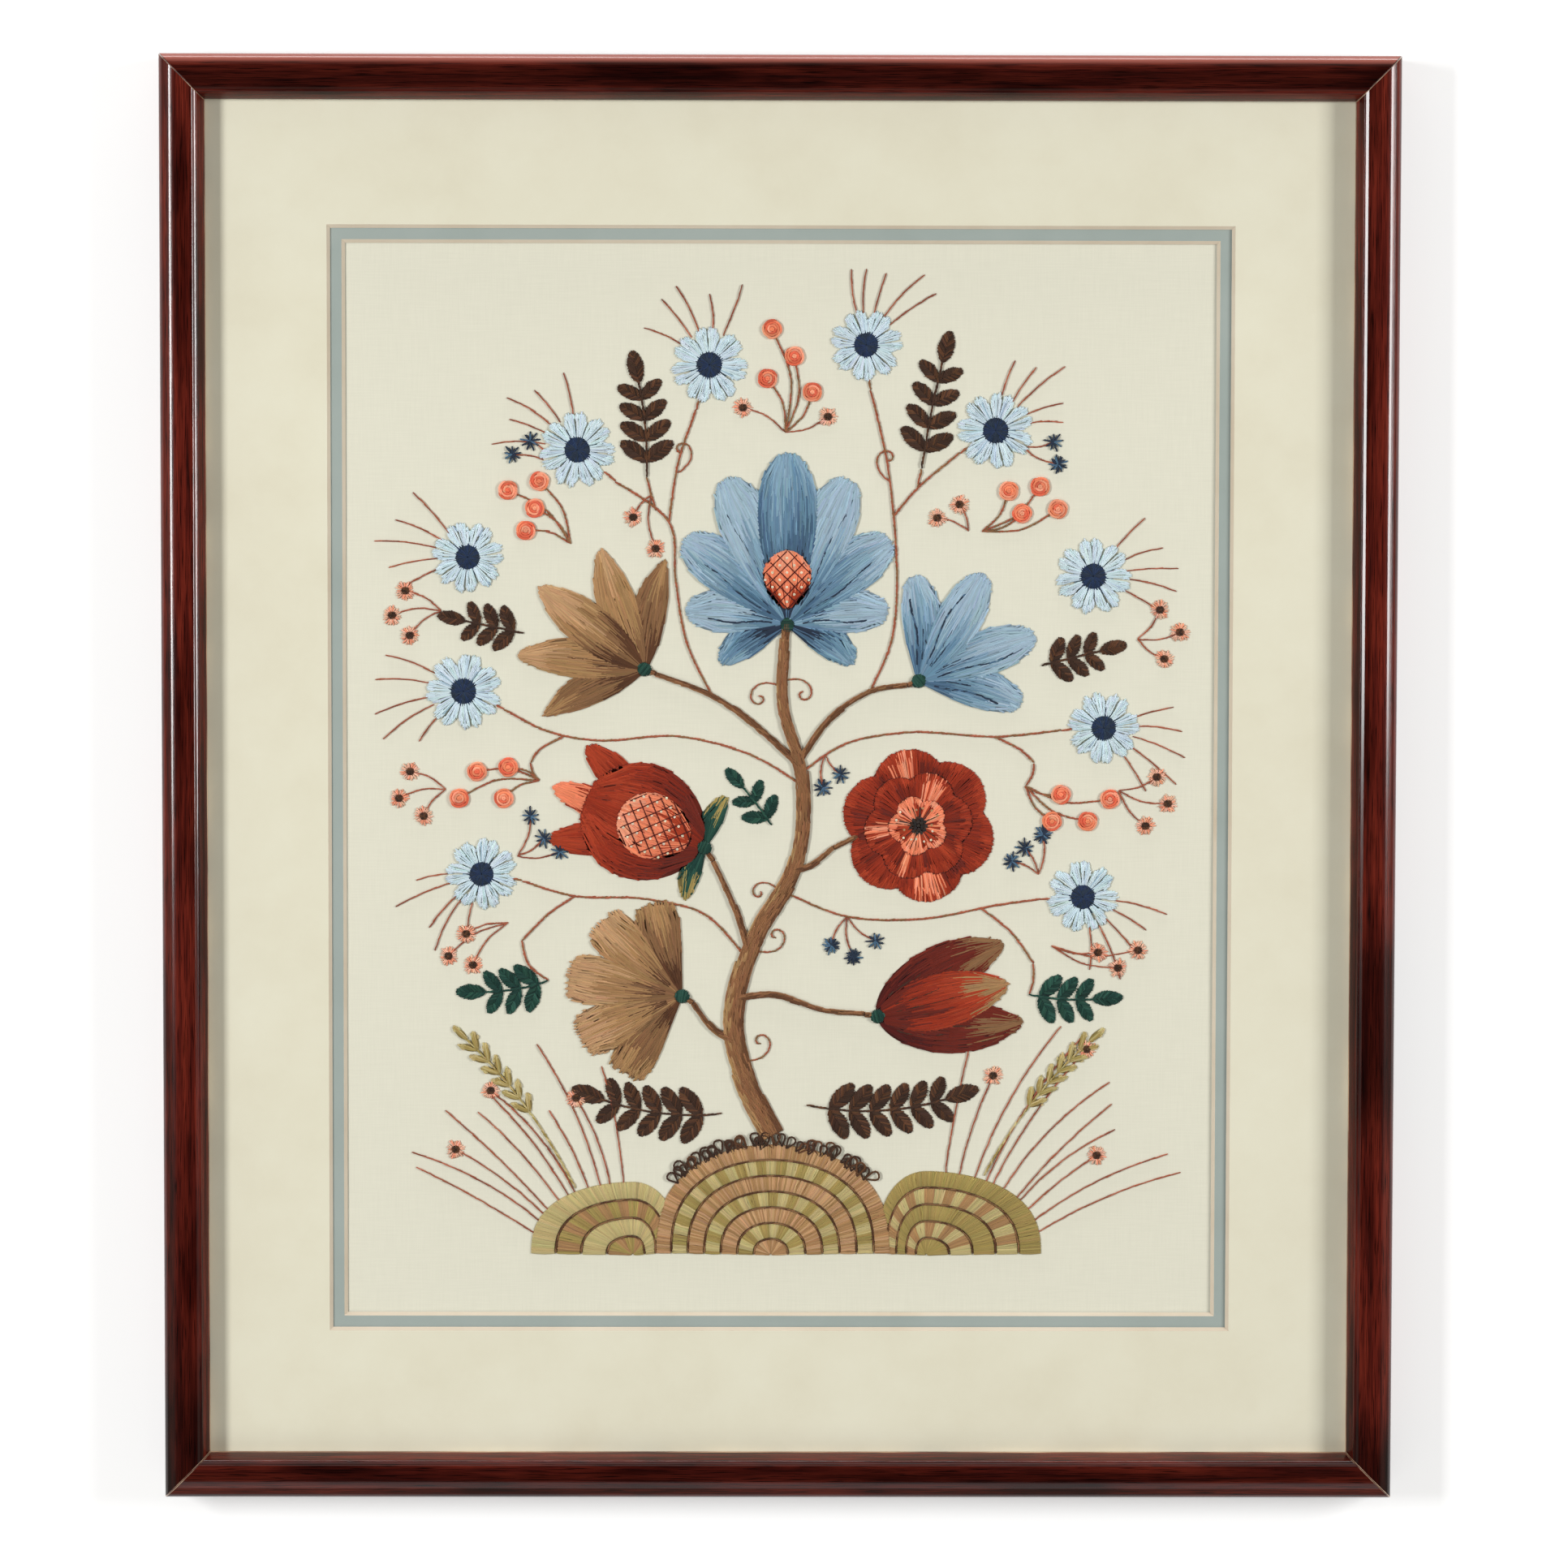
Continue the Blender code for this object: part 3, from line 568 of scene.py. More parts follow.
def petal(work, foot, angle, length, width, bend, root, tip, shades, clear=(), level=0.0, row_length=9.0,
          ragged=0.5):
    """A petal in long and short stitch, in rows from its tip to its root."""
    outline = blade(foot, angle, length, width, bend, root, tip)
    u = np.linspace(0, 1, 240)
    half = swell(u, root, tip) * width / 2
    peak = half.argmax()
    rows = max(2, round(length / row_length))
    marks = np.linspace(1.0, 0.03, rows + 1)
    step = marks[0] - marks[1]
    drift = rng.uniform(-0.5, 0.5)
    for row in range(rows):
        high, low = marks[row], marks[row + 1]
        reach = half[(u >= low) & (u <= high)].max()
        count = max(3, round(2 * reach / SPACING) + 1)
        f = np.linspace(-1, 1, count) * (1 - 0.3 * WOOL / max(reach, WOOL))
        end = np.maximum(low + step * rng.uniform(0, 0.6 if row + 1 < rows else 0.05, count), 0.02)
        if row == 0:
            side = f * reach
            begin = np.interp(np.abs(side), half[peak:][::-1], u[peak:][::-1])
            begin = begin + ragged * rng.uniform(-1, 1, count) / length
            end_side = side * np.minimum(1, np.interp(end, u, half) / reach)
        else:
            begin = np.minimum(high + step * rng.uniform(0.6, 1.15, count), 0.98)
            side = f * np.interp(begin, u, half)
            end_side = f * np.interp(end, u, half)
        usable = begin - end > 1.5 / length
        start = turned(bent(begin, side, length, bend), *foot, angle)[usable]
        stop = turned(bent(end, end_side, length, bend), *foot, angle)[usable]
        middle = ((begin + end) / 2)[usable]
        flare = 0.10 * np.sin(4.1 * f[usable] + drift * 6) + 0.07 * np.abs(f[usable])
        start, stop, kept = trimmed(start, stop, clear)
        colours = dyed(shades, shade_at((1 - middle + flare)[kept], shades))
        work.straight(start, stop, colours, WOOL, outline, level=level)
    # Padding in the same shades but darker, as painted shade where it shows between the strands
    line = 0.5 - 0.5 * np.cos(np.linspace(0, math.pi, 24))
    down = np.concatenate([line, line[::-1][1:-1]])
    choice = np.clip(((1 - down) * len(shades)).astype(int), 0, len(shades) - 1)
    pad = blade(foot, angle, length - 0.5, width - 0.7, bend, root, tip)
    work.pad(pad, linear(shades)[choice] * PAD_PAINTED_SHADE)


def leaf(work, foot, angle, length, width, bend, shades):
    """A leaf in fishbone stitch, slanting from its edges to its midrib."""
    outline = blade(foot, angle, length, width, bend)
    step = SPACING / 0.72 / length
    for side, light in ((1, 1.15), (-1, 0.88)):
        inner = np.arange(0.0, 0.95, step)
        slant = 0.45 * width * swell(inner + 0.1, LEAF_SWELL, LEAF_SWELL) / length
        outer = np.minimum(inner + slant + 0.02, 0.99)
        half = swell(outer, LEAF_SWELL, LEAF_SWELL) * width / 2 + rng.uniform(-0.3, 0.15, len(outer))
        start = turned(bent(outer, side * np.maximum(half, 0.1), length, bend), *foot, angle)
        stop = turned(bent(np.maximum(inner - 0.02, 0.0), -side * 0.15, length, bend), *foot, angle)
        start, stop, kept = trimmed(start, stop)
        work.straight(start, stop, mixed(shades, kept.sum()) * light, WOOL, outline, puff=0.28)
    work.pad(blade(foot, angle, length - 0.4, width - 0.5, bend, steps=12), linear(shades[0]) * PAD_PAINTED_SHADE)


def along(line, distance, side):
    """Points at a distance along a line and a distance to its left."""
    run = run_along(line)

    def point(reach):
        return np.stack([np.interp(reach, run, line[:, 0]), np.interp(reach, run, line[:, 1])], -1)

    ahead = point(distance + 0.3) - point(distance - 0.3)
    ahead /= np.maximum(np.linalg.norm(ahead, axis=-1, keepdims=True), 1e-9)
    return point(distance) + np.stack([-ahead[:, 1] * side, ahead[:, 0] * side], -1)


def line_length(line):
    return float(np.linalg.norm(np.diff(line, axis=0), axis=1).sum())


def stem_line(work, line, shades, stitch=3.6, slant=0.2, width=WOOL, level=0.0, clear=()):
    """A line of stem stitch: slanting stitches, each beginning beside the middle of the last."""
    total = line_length(line)
    begin = np.arange(0, max(total - stitch * 0.6, 0.5), stitch / 2)
    end = np.minimum(begin + stitch, total)
    start = along(line, begin, np.full(len(begin), -slant))
    stop = along(line, end, np.full(len(begin), slant))
    start, stop, kept = trimmed(start, stop, clear)
    work.straight(start, stop, mixed(shades, kept.sum()), width, level=level)


def trunk(work, line, start_width, end_width, shades, stitch=6.0):
    """A wide stem: rows of stem stitch side by side, darker on one side."""
    total = line_length(line)
    rows = np.arange(-start_width / 2 + 0.45, start_width / 2 - 0.3, SPACING + 0.03)
    for number, offset in enumerate(rows):
        begin = np.arange(-(number % 3) * stitch / 3, total, stitch * 0.72)
        end = np.minimum(begin + stitch, total)
        begin = np.maximum(begin, 0)
        width_there = start_width + (end_width - start_width) * (begin + end) / 2 / total
        narrow = (np.abs(offset) <= width_there / 2 - 0.2) & (end - begin > 1.5)
        start = along(line, begin[narrow], np.full(narrow.sum(), offset - 0.08))
        stop = along(line, end[narrow], np.full(narrow.sum(), offset + 0.08))
        share = offset / start_width + 0.5
        choice = shade_at(np.full(len(start), share), shades, 0.09)
        puff = 0.5 * (1 - (2 * offset / start_width) ** 2)
        work.straight(start, stop, dyed(shades, choice), level=puff)


def rosette(work, centre, reach_at, inner, colour_at, rows, outline, clear=(), thread=WOOL, level=0.0, ragged=0.3,
            keep_at=None):
    """Stitches that run from a lobed edge towards the middle, in rings of long and short stitch."""
    marks = np.linspace(1.0, 0.0, rows + 1)
    step = marks[0] - marks[1]
    spacing = SPACING * thread / WOOL
    mean = reach_at(np.linspace(0, 2 * math.pi, 90)).mean()
    for row in range(rows):
        high, low = marks[row], marks[row + 1]
        count = round(2 * math.pi * (inner + (high * 0.7 + low * 0.3) * (mean - inner)) / spacing)
        angle = 2 * math.pi * (np.arange(count) + rng.uniform(-0.2, 0.2, count)) / count
        begin = np.full(count, high)
        if row:
            begin = np.minimum(high + step * rng.uniform(0.5, 1.0, count), 1)
        end = low + step * rng.uniform(0, 0.5, count) * (row + 1 < rows)
        if keep_at is not None:
            seen = keep_at(begin, angle)
            angle, begin, end = angle[seen], begin[seen], end[seen]
        reach = reach_at(angle)
        outer = inner + begin * (reach - inner) - (rng.uniform(0, ragged, len(angle)) if row == 0 else 0)
        nearer = inner + end * (reach - inner)
        way = way_of(angle)
        start, stop, kept = trimmed(centre + way * outer[:, None], centre + way * nearer[:, None], clear)
        colours = colour_at(1 - (begin + end)[kept] / 2, angle[kept])
        work.straight(start, stop, colours, thread, outline, level=level)


# Finishes

# Dark smudges in the lacquer: their place and their spread
SMOKED = (
    ((-0.267, -0.315, 0.02), (0.045, 0.075, 0.06)),
    ((0.267, -0.112, 0.02), (0.060, 0.060, 0.06)),
    ((0.262, -0.320, 0.02), (0.060, 0.040, 0.06)),
)
MAHOGANY = ((0.28, (42, 14, 11)), (0.45, (84, 25, 18)), (0.62, (110, 38, 26)), (0.8, (72, 22, 17)))
SMOKE = (148, 143, 143)
WHITE = (255, 255, 255)
# Painted highlight on the outer arris: where it lies, in millimetres from the outer side, and its lighter red
ARRIS_BAND = ((0.05, 0), (0.4, 255), (2.6, 255), (4.4, 0))
ARRIS_HIGHLIGHT_RED = (172, 98, 86)


def node(tree, kind, **values):
    made = tree.nodes.new(kind)
    for name, value in values.items():
        setattr(made, name, value)
    return made


def new_finish(name):
    finish = bpy.data.materials.new(name)
    finish.use_nodes = True
    tree = finish.node_tree
    return finish, tree, tree.nodes["Principled BSDF"]


def ramp(tree, source, stops):
    """Colours picked by a grey source: each stop is a place from 0 to 1 and a colour."""
    made = node(tree, "ShaderNodeValToRGB")
    band = made.color_ramp
    while len(band.elements) < len(stops):
        band.elements.new(0.5)
    for element, (place, colour) in zip(band.elements, stops):
        element.position = place
        element.color = (*linear(colour), 1)
    tree.links.new(source, made.inputs["Fac"])
    return made.outputs["Color"]


def noise(tree, source, scale, detail, rough):
    made = node(tree, "ShaderNodeTexNoise")
    made.inputs["Scale"].default_value = scale
    made.inputs["Detail"].default_value = detail
    made.inputs["Roughness"].default_value = rough
    tree.links.new(source, made.inputs["Vector"])
    return made.outputs["Fac"]


def stretched(tree, source, scale):
    made = node(tree, "ShaderNodeMapping")
    made.inputs["Scale"].default_value = scale
    tree.links.new(source, made.inputs["Vector"])
    return made.outputs["Vector"]


def grain_of(tree):
    return node(tree, "ShaderNodeUVMap", uv_map="Grain").outputs["UV"]


def place_of(tree):
    return node(tree, "ShaderNodeTexCoord").outputs["Object"]


def reckoned(tree, kind, operation, *values):
    """A calculation on sources and plain numbers."""
    made = node(tree, kind, operation=operation)
    for socket, value in zip(made.inputs, values):
        if isinstance(value, bpy.types.NodeSocket):
            tree.links.new(value, socket)
        else:
            socket.default_value = value
    return made.outputs


def glazed(tree, below, above):
    """One colour seen through another."""
    made = node(tree, "ShaderNodeMix", data_type="RGBA", blend_type="MULTIPLY")
    made.inputs[0].default_value = 1.0
    tree.links.new(below, made.inputs[6])
    tree.links.new(above, made.inputs[7])
    return made.outputs[2]


def dress(tree, shader, colour, roughness, gloss=0.5, sheen=0.0):
    tree.links.new(colour, shader.inputs["Base Color"])
    shader.inputs["Roughness"].default_value = roughness
    shader.inputs["Specular IOR Level"].default_value = gloss
    shader.inputs["Sheen Weight"].default_value = sheen


def bump(tree, shader, height, strength, distance):
    made = node(tree, "ShaderNodeBump")
    made.inputs["Strength"].default_value = strength
    made.inputs["Distance"].default_value = distance
    tree.links.new(height, made.inputs["Height"])
    tree.links.new(made.outputs["Normal"], shader.inputs["Normal"])


def yarn_finish(name, roughness, gloss, sheen):
    """Dyed yarn: the strand's own colour, matte for wool and softly shiny for floss."""
    finish, tree, shader = new_finish(name)
    colour = node(tree, "ShaderNodeAttribute", attribute_name="Yarn").outputs["Color"]
    dress(tree, shader, colour, roughness, gloss, sheen)
    return finish


def across(inward):
    """How far round the section, in metres, the moulding's face is when it has come this far in."""
    section = np.array(moulding_outline())
    length = run_along(section)
    face = slice(len(MOULDING_SIDE), len(section) - len(MOULDING_LIP))
    return float(np.interp(inward, section[face, 0], length[face])) * MM


def band_across(tree, grain, stops):
    """A band of greys over the moulding's face: each stop lies so many millimetres in from the outer side."""
    low, high = across(0), across(20)
    round_it = node(tree, "ShaderNodeSeparateXYZ")
    tree.links.new(grain, round_it.inputs[0])
    share = node(tree, "ShaderNodeMapRange")
    share.inputs["From Min"].default_value = low
    share.inputs["From Max"].default_value = high
    tree.links.new(round_it.outputs["Y"], share.inputs["Value"])
    return ramp(tree, share.outputs["Result"],
                [((across(place) - low) / (high - low), (grey,) * 3) for place, grey in stops])


def lacquered_mahogany(name, painted_shade_bands=((9, 255),), painted_arris_highlight=0.0, smoked=(), gloss=0.4):
    """Dark red-brown lacquer over straight grain, smoked darker in places as antiqued frames are. The second argument
    paints shade across the face in bands of grey, and the third is how strongly the outer arris is painted a lighter
    red, as a painted highlight."""
    finish, tree, shader = new_finish(name)
    grain = grain_of(tree)
    streaks = noise(tree, stretched(tree, grain, (14, 420, 1)), 1.0, 5.0, 0.62)
    pores = noise(tree, stretched(tree, grain, (60, 2600, 1)), 1.0, 2.0, 0.5)
    mottle = noise(tree, stretched(tree, grain, (9, 60, 1)), 1.0, 3.0, 0.6)
    layers = [(pores, ((0.36, (120, 110, 110)), (0.46, WHITE))), (mottle, ((0.36, (150, 128, 122)), (0.55, WHITE)))]
    for spot, spread in smoked:
        away = reckoned(tree, "ShaderNodeVectorMath", "SUBTRACT", place_of(tree), spot)["Vector"]
        share = stretched(tree, away, [1 / s for s in spread])
        far = reckoned(tree, "ShaderNodeVectorMath", "LENGTH", share)["Value"]
        layers.append((far, ((0.45, SMOKE), (1.0, WHITE))))
    shade = ramp(tree, streaks, MAHOGANY)
    for source, stops in layers:
        shade = glazed(tree, shade, ramp(tree, source, stops))
    # Painted shade: the face is darkened in bands of grey across it
    shade = glazed(tree, shade, band_across(tree, grain, painted_shade_bands))
    # Painted highlight: the outer arris is mixed towards a lighter red
    if painted_arris_highlight:
        band = band_across(tree, grain, ARRIS_BAND)
        highlighted_arris = node(tree, "ShaderNodeMix", data_type="RGBA")
        tree.links.new(reckoned(tree, "ShaderNodeMath", "MULTIPLY", band, painted_arris_highlight)[0], highlighted_arris.inputs[0])
        tree.links.new(shade, highlighted_arris.inputs[6])
        highlighted_arris.inputs[7].default_value = (*linear(ARRIS_HIGHLIGHT_RED), 1)
        shade = highlighted_arris.outputs[2]
    dress(tree, shader, shade, 0.15, gloss)
    bump(tree, shader, pores, 0.05, 0.0002)
    return finish


def raw_wood():
    """The unfinished back and rabbet of the moulding."""
    finish, tree, shader = new_finish("raw wood")
    streaks = noise(tree, stretched(tree, grain_of(tree), (9, 300, 1)), 1.0, 5.0, 0.6)
    colour = ramp(tree, streaks, ((0.3, (150, 116, 82)), (0.55, (186, 152, 112)), (0.8, (204, 172, 132))))
    dress(tree, shader, colour, 0.85)
    bump(tree, shader, streaks, 0.2, 0.0003)
    return finish


def worn_edge():
    """The sight edge and the mitres, where the lacquer is worn through to pale wood."""
    finish, tree, shader = new_finish("worn sight edge")
    wear = noise(tree, stretched(tree, grain_of(tree), (24, 150, 1)), 1.0, 4.0, 0.6)
    colour = ramp(tree, wear, ((0.36, (84, 44, 34)), (0.48, (150, 112, 88)), (0.64, (202, 172, 142))))
    dress(tree, shader, colour, 0.6)
    return finish


def card(name, shade, light, dark):
    """Mat board: faintly mottled paper."""
    finish, tree, shader = new_finish(name)
    place = place_of(tree)
    mottle = noise(tree, place, 26.0, 6.0, 0.6)
    dress(tree, shader, ramp(tree, mottle, ((0.25, dark), (0.5, shade), (0.75, light))), 0.92, 0.2)
    bump(tree, shader, noise(tree, place, 1500.0, 2.0, 0.5), 0.15, 0.0001)
    return finish


def linen_weave():
    """Fine plain weave: threads both ways, with slubs."""
    finish, tree, shader = new_finish("linen weave")
    place = place_of(tree)
    warp = noise(tree, stretched(tree, place, (1500, 70, 1)), 1.0, 2.0, 0.5)
    weft = noise(tree, stretched(tree, place, (70, 1500, 1)), 1.0, 2.0, 0.5)
    both = reckoned(tree, "ShaderNodeMath", "ADD", warp, weft)[0]
    threads = reckoned(tree, "ShaderNodeMath", "MULTIPLY", both, 0.5)[0]
    colour = ramp(tree, threads, ((0.3, (223, 221, 203)), (0.5, (226, 224, 206)), (0.7, (229, 227, 209))))
    dress(tree, shader, colour, 0.95, 0.15, 0.1)
    bump(tree, shader, threads, 0.12, 0.0002)
    return finish


# Pieces modelled one by one

# The linen: squares across and down its mesh, and how deep its unevenness is, in metres
CLOTH_SQUARES = (88, 104)
CLOTH_DIP = 0.00005


def deselect():
    """Frees everything, since an operator acts on all that is selected."""
    bpy.ops.object.select_all(action="DESELECT")


def settle(obj, name, nodes, finishes):
    """Puts a finished piece at the origin, dresses it and lets it stand for its solid."""
    deselect()
    obj.select_set(True)
    bpy.context.view_layer.objects.active = obj
    bpy.ops.object.transform_apply(location=True, rotation=True, scale=True)
    obj.name = name
    for finish in finishes:
        obj.data.materials.append(finish)
    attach(obj, "root")
    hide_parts(*nodes)


def block(width, height, low, high):
    deselect()
    bpy.ops.mesh.primitive_cube_add(size=1, location=(0, 0, (low + high) / 2))
    obj = bpy.context.object
    obj.scale = (width, height, high - low)
    bpy.ops.object.transform_apply(location=True, rotation=True, scale=True)
    return obj


def moulding_outline():
    face = [tuple(p) for p in smooth(MOULDING_FACE, 4)]
    return [*MOULDING_SIDE, *face, *MOULDING_LIP]


def rail(node_name, length, out, turn, finishes):
    """A length of moulding: its outline filled and extruded, then mitred at both ends."""
    outline = moulding_outline()
    deselect()
    bpy.ops.mesh.primitive_circle_add(vertices=len(outline), radius=1, fill_type="NGON")
    obj = bpy.context.object
    half = length / 2
    for corner, (inward, up) in zip(obj.data.vertices, outline):
        corner.co = (-half * MM, (inward - out) * MM, up * MM)
    bpy.ops.object.mode_set(mode="EDIT")
    bpy.ops.mesh.select_all(action="SELECT")
    bpy.ops.mesh.extrude_region_move(TRANSFORM_OT_translate={"value": (length * MM, 0, 0)})
    for end in (1, -1):
        bpy.ops.mesh.select_all(action="SELECT")
        bpy.ops.mesh.bisect(plane_co=(end * (half - MITRE_GAP) * MM, -out * MM, 0), plane_no=(end, 1, 0),
                            use_fill=True, clear_outer=True)
        bpy.ops.mesh.select_all(action="SELECT")
        bpy.ops.mesh.bisect(plane_co=(end * (half - MITRE_GAP - MITRE_WEAR) * MM, -out * MM, 0),
                            plane_no=(end, 1, 0))
    bpy.ops.mesh.select_all(action="SELECT")
    bpy.ops.mesh.normals_make_consistent(inside=False)
    bpy.ops.object.mode_set(mode="OBJECT")
    mesh = obj.data
    # Grain runs along the rail and round its section
    section = np.array(outline)
    round_it = run_along(section)
    grain = mesh.uv_layers.new(name="Grain")
    for loop in mesh.loops:
        x, y, z = mesh.vertices[loop.vertex_index].co
        here = np.array([y / MM + out, z / MM])
        place = round_it[((section - here) ** 2).sum(1).argmin()]
        grain.data[loop.index].uv = (x + turn * 0.013, place * MM)
    for face in mesh.polygons:
        inward, up = face.center.y / MM + out, face.center.z / MM
        rabbet = inward > RABBET_FROM and up < RABBET_TOP
        sight = inward > SIGHT_FROM and up < SIGHT_TOP
        lip = inward > LIP_FROM and RABBET_TOP < up < LIP_TOP
        reach = abs(face.center.x) / MM + inward
        mitre = face.normal.z > 0.1 and reach > half - MITRE_GAP - MITRE_WEAR
        bare = face.normal.z < -0.5 or rabbet and abs(face.normal.x) < 0.5
        face.material_index = 2 if lip or mitre else 1 if bare else 3 if sight else 0
        face.use_smooth = abs(face.normal.x) < 0.5
    obj.rotation_euler.z = math.radians(turn)
    settle(obj, node_name + "_finish", [node_name], finishes)
    bpy.ops.object.shade_smooth_by_angle(angle=math.radians(35))


def window_mat(node_name, box, window, finish, core):
    """A mat with a window cut at a slant, so that its pale core shows all round the opening."""
    low, high = box
    obj = block(high.x - low.x, high.y - low.y, low.z, high.z)
    thick = (high.z - low.z) / MM
    slope = MAT_BEVEL / thick
    deselect()
    bpy.ops.mesh.primitive_cube_add(size=1)
    cutter = bpy.context.object
    for corner in cutter.data.vertices:
        top = corner.co.z > 0
        spare = slope if top else -(MAT_BEVEL + slope)
        corner.co.x = (math.copysign(window[0] / 2 + spare, corner.co.x) + WINDOW_CENTRE[0]) * MM
        corner.co.y = (math.copysign(window[1] / 2 + spare, corner.co.y) + WINDOW_CENTRE[1]) * MM
        corner.co.z = high.z + MM if top else low.z - MM
    cut = obj.modifiers.new("window", "BOOLEAN")
    cut.operation = "DIFFERENCE"
    cut.solver = "EXACT"
    cut.object = cutter
    deselect()
    obj.select_set(True)
    bpy.context.view_layer.objects.active = obj
    bpy.ops.object.modifier_apply(modifier=cut.name)
    bpy.data.objects.remove(cutter)
    for face in obj.data.polygons:
        face.material_index = 1 if 0.1 < abs(face.normal.z) < 0.95 else 0
    settle(obj, node_name + "_card", [node_name], [finish, core])


def linen_sheet(finish):
    """The ground cloth, stretched flat with the slight unevenness of woven linen."""
    low, high = LINEN
    deselect()
    across_it, down_it = CLOTH_SQUARES
    bpy.ops.mesh.primitive_grid_add(x_subdivisions=across_it, y_subdivisions=down_it, size=1, location=(0, 0, high.z))
    obj = bpy.context.object
    obj.scale = (high.x - low.x, high.y - low.y, 1)
    bpy.ops.object.transform_apply(location=True, rotation=True, scale=True)
    for corner in obj.data.vertices:
        x, y = corner.co.x * 1000, corner.co.y * 1000
        corner.co.z -= CLOTH_DIP * (1 + math.sin(x / 23 + 1.3 * math.sin(y / 31)) * math.cos(y / 27 + x / 61))
    sheet = obj.modifiers.new("thickness", "SOLIDIFY")
    sheet.thickness = (high.z - low.z) * 0.9
    sheet.offset = -1
    bpy.ops.object.modifier_apply(modifier=sheet.name)
    obj.data.shade_smooth()
    settle(obj, "linen_cloth", ["linen"], [finish])


def backing_board(finish):
    low, high = BOARD
    obj = block(high.x - low.x, high.y - low.y, low.z, high.z)
    soften = obj.modifiers.new("worn edges", "BEVEL")
    soften.width = 0.4 * MM
    soften.segments = 2
    bpy.ops.object.modifier_apply(modifier=soften.name)
    settle(obj, "mount_board_card", ["mount_board"], [finish])


mahogany = lacquered_mahogany("lacquered mahogany", smoked=SMOKED)
# The top and bottom rails get painted shade across their faces, darkest over the middle of the face and, on the bottom
# rail, also at its outer edge; the top rail also gets a painted highlight on its outer arris
top_mahogany_painted_shade = lacquered_mahogany("lacquered mahogany with painted shade, rubbed", (
    (0, 255), (4.4, 240), (6, 200), (8, 168), (13, 164), (15.5, 188), (17, 225)), 0.7)
bottom_mahogany_painted_shade = lacquered_mahogany("lacquered mahogany with painted shade", (
    (0, 170), (2, 225), (6, 225), (8.5, 190), (11, 172), (13, 205), (15, 240), (17, 255)))
satin_mahogany = lacquered_mahogany("satin mahogany of the sight edge", gloss=0.12)
worn = worn_edge()
raw = raw_wood()
core = card("mat core", (213, 200, 180), (219, 208, 189), (205, 190, 168))
cream = card("cream card", (228, 224, 202), (231, 228, 207), (224, 219, 196))
grey_blue = card("grey blue card", (161, 172, 167), (166, 176, 171), (156, 167, 162))
grey_board = card("grey board", (158, 146, 130), (170, 158, 142), (142, 130, 116))
weave = linen_weave()
wool = yarn_finish("crewel wool", 0.9, 0.12, 0.12)
floss = yarn_finish("floss", 0.45, 0.3, 0.05)

rail("frame_rail_bottom", FRAME_WIDTH, FRAME_HEIGHT / 2, 0, [bottom_mahogany_painted_shade, raw, worn, bottom_mahogany_painted_shade])
rail("frame_rail_right", FRAME_HEIGHT, FRAME_WIDTH / 2, 90, [mahogany, raw, worn, satin_mahogany])
rail("frame_rail_top", FRAME_WIDTH, FRAME_HEIGHT / 2, 180, [top_mahogany_painted_shade, raw, satin_mahogany, satin_mahogany])
rail("frame_rail_left", FRAME_HEIGHT, FRAME_WIDTH / 2, 270, [mahogany, raw, worn, satin_mahogany])
backing_board(grey_board)
linen_sheet(weave)
window_mat("inner_mat", INNER_MAT, INNER_WINDOW, grey_blue, core)
window_mat("outer_mat", OUTER_MAT, OUTER_WINDOW, cream, core)


# Stitching

# Hillocks: bands of stitches, plain and chequered in turn, with a dark line between them
front = mound_point(np.linspace(0, math.pi, 60), HILLOCKS["hill_middle"], 1.0)
front = np.concatenate([front + (0, 0.2), [(front[-1, 0], GROUND - 5), (front[0, 0], GROUND - 5)]])
# Shades of the plain and of the chequered bands, then the slot
HILL_SHADES = {
    "hill_middle": ((TAN, LIGHT_TAN), (KHAKI, OLIVE), "tan_wool"),
    "hill_left": ((KHAKI, KHAKI), (OLIVE, TAN), "khaki_wool"),
    "hill_right": ((OLIVE, OLIVE), (KHAKI, TAN), "olive_wool"),
}
BAND_WIDTH = 7.5
for name, hill in HILLOCKS.items():
    plain, chequer, slot = HILL_SHADES[name]
    work = Needlework()
    outline = mound_point(np.linspace(0, math.pi, 60), hill, 1.0)
    clear = () if name == "hill_middle" else (front,)
    bands = max(3, round(hill[3] / BAND_WIDTH))
    for band in range(bands):
        high, low = 1 - band / bands, 1 - (band + 0.94) / bands
        angle = np.linspace(0.004, math.pi - 0.004, 2000)
        arc = mound_point(angle, hill, high)
        run = run_along(arc)
        count = max(5, round(run[-1] / (SPACING + 0.02)))
        spots = np.interp((np.arange(count) + 0.5) / count * run[-1], run, angle)
        start, stop, kept = trimmed(mound_point(spots, hill, high), mound_point(spots, hill, low), clear)
        colours = dyed(chequer, (np.arange(count)[kept] // 7) % 2) if band % 2 else mixed(plain, kept.sum())
        work.straight(start, stop, colours, outline=outline, puff=0.3)
        if band:
            seam = mound_point(np.linspace(0.01, math.pi - 0.01, 80), hill, high + 0.03 / bands)
            stem_line(work, seam, (BROWN_TAN, CHOCOLATE), stitch=4.4, width=0.6, slant=0.1, level=0.4, clear=clear)
    work.pad(mound_point(np.linspace(0.01, math.pi - 0.01, 40), hill, 0.985), linear(plain[0]) * PAD_PAINTED_SHADE)
    work.piece(name + "_stitches", [name], wool)

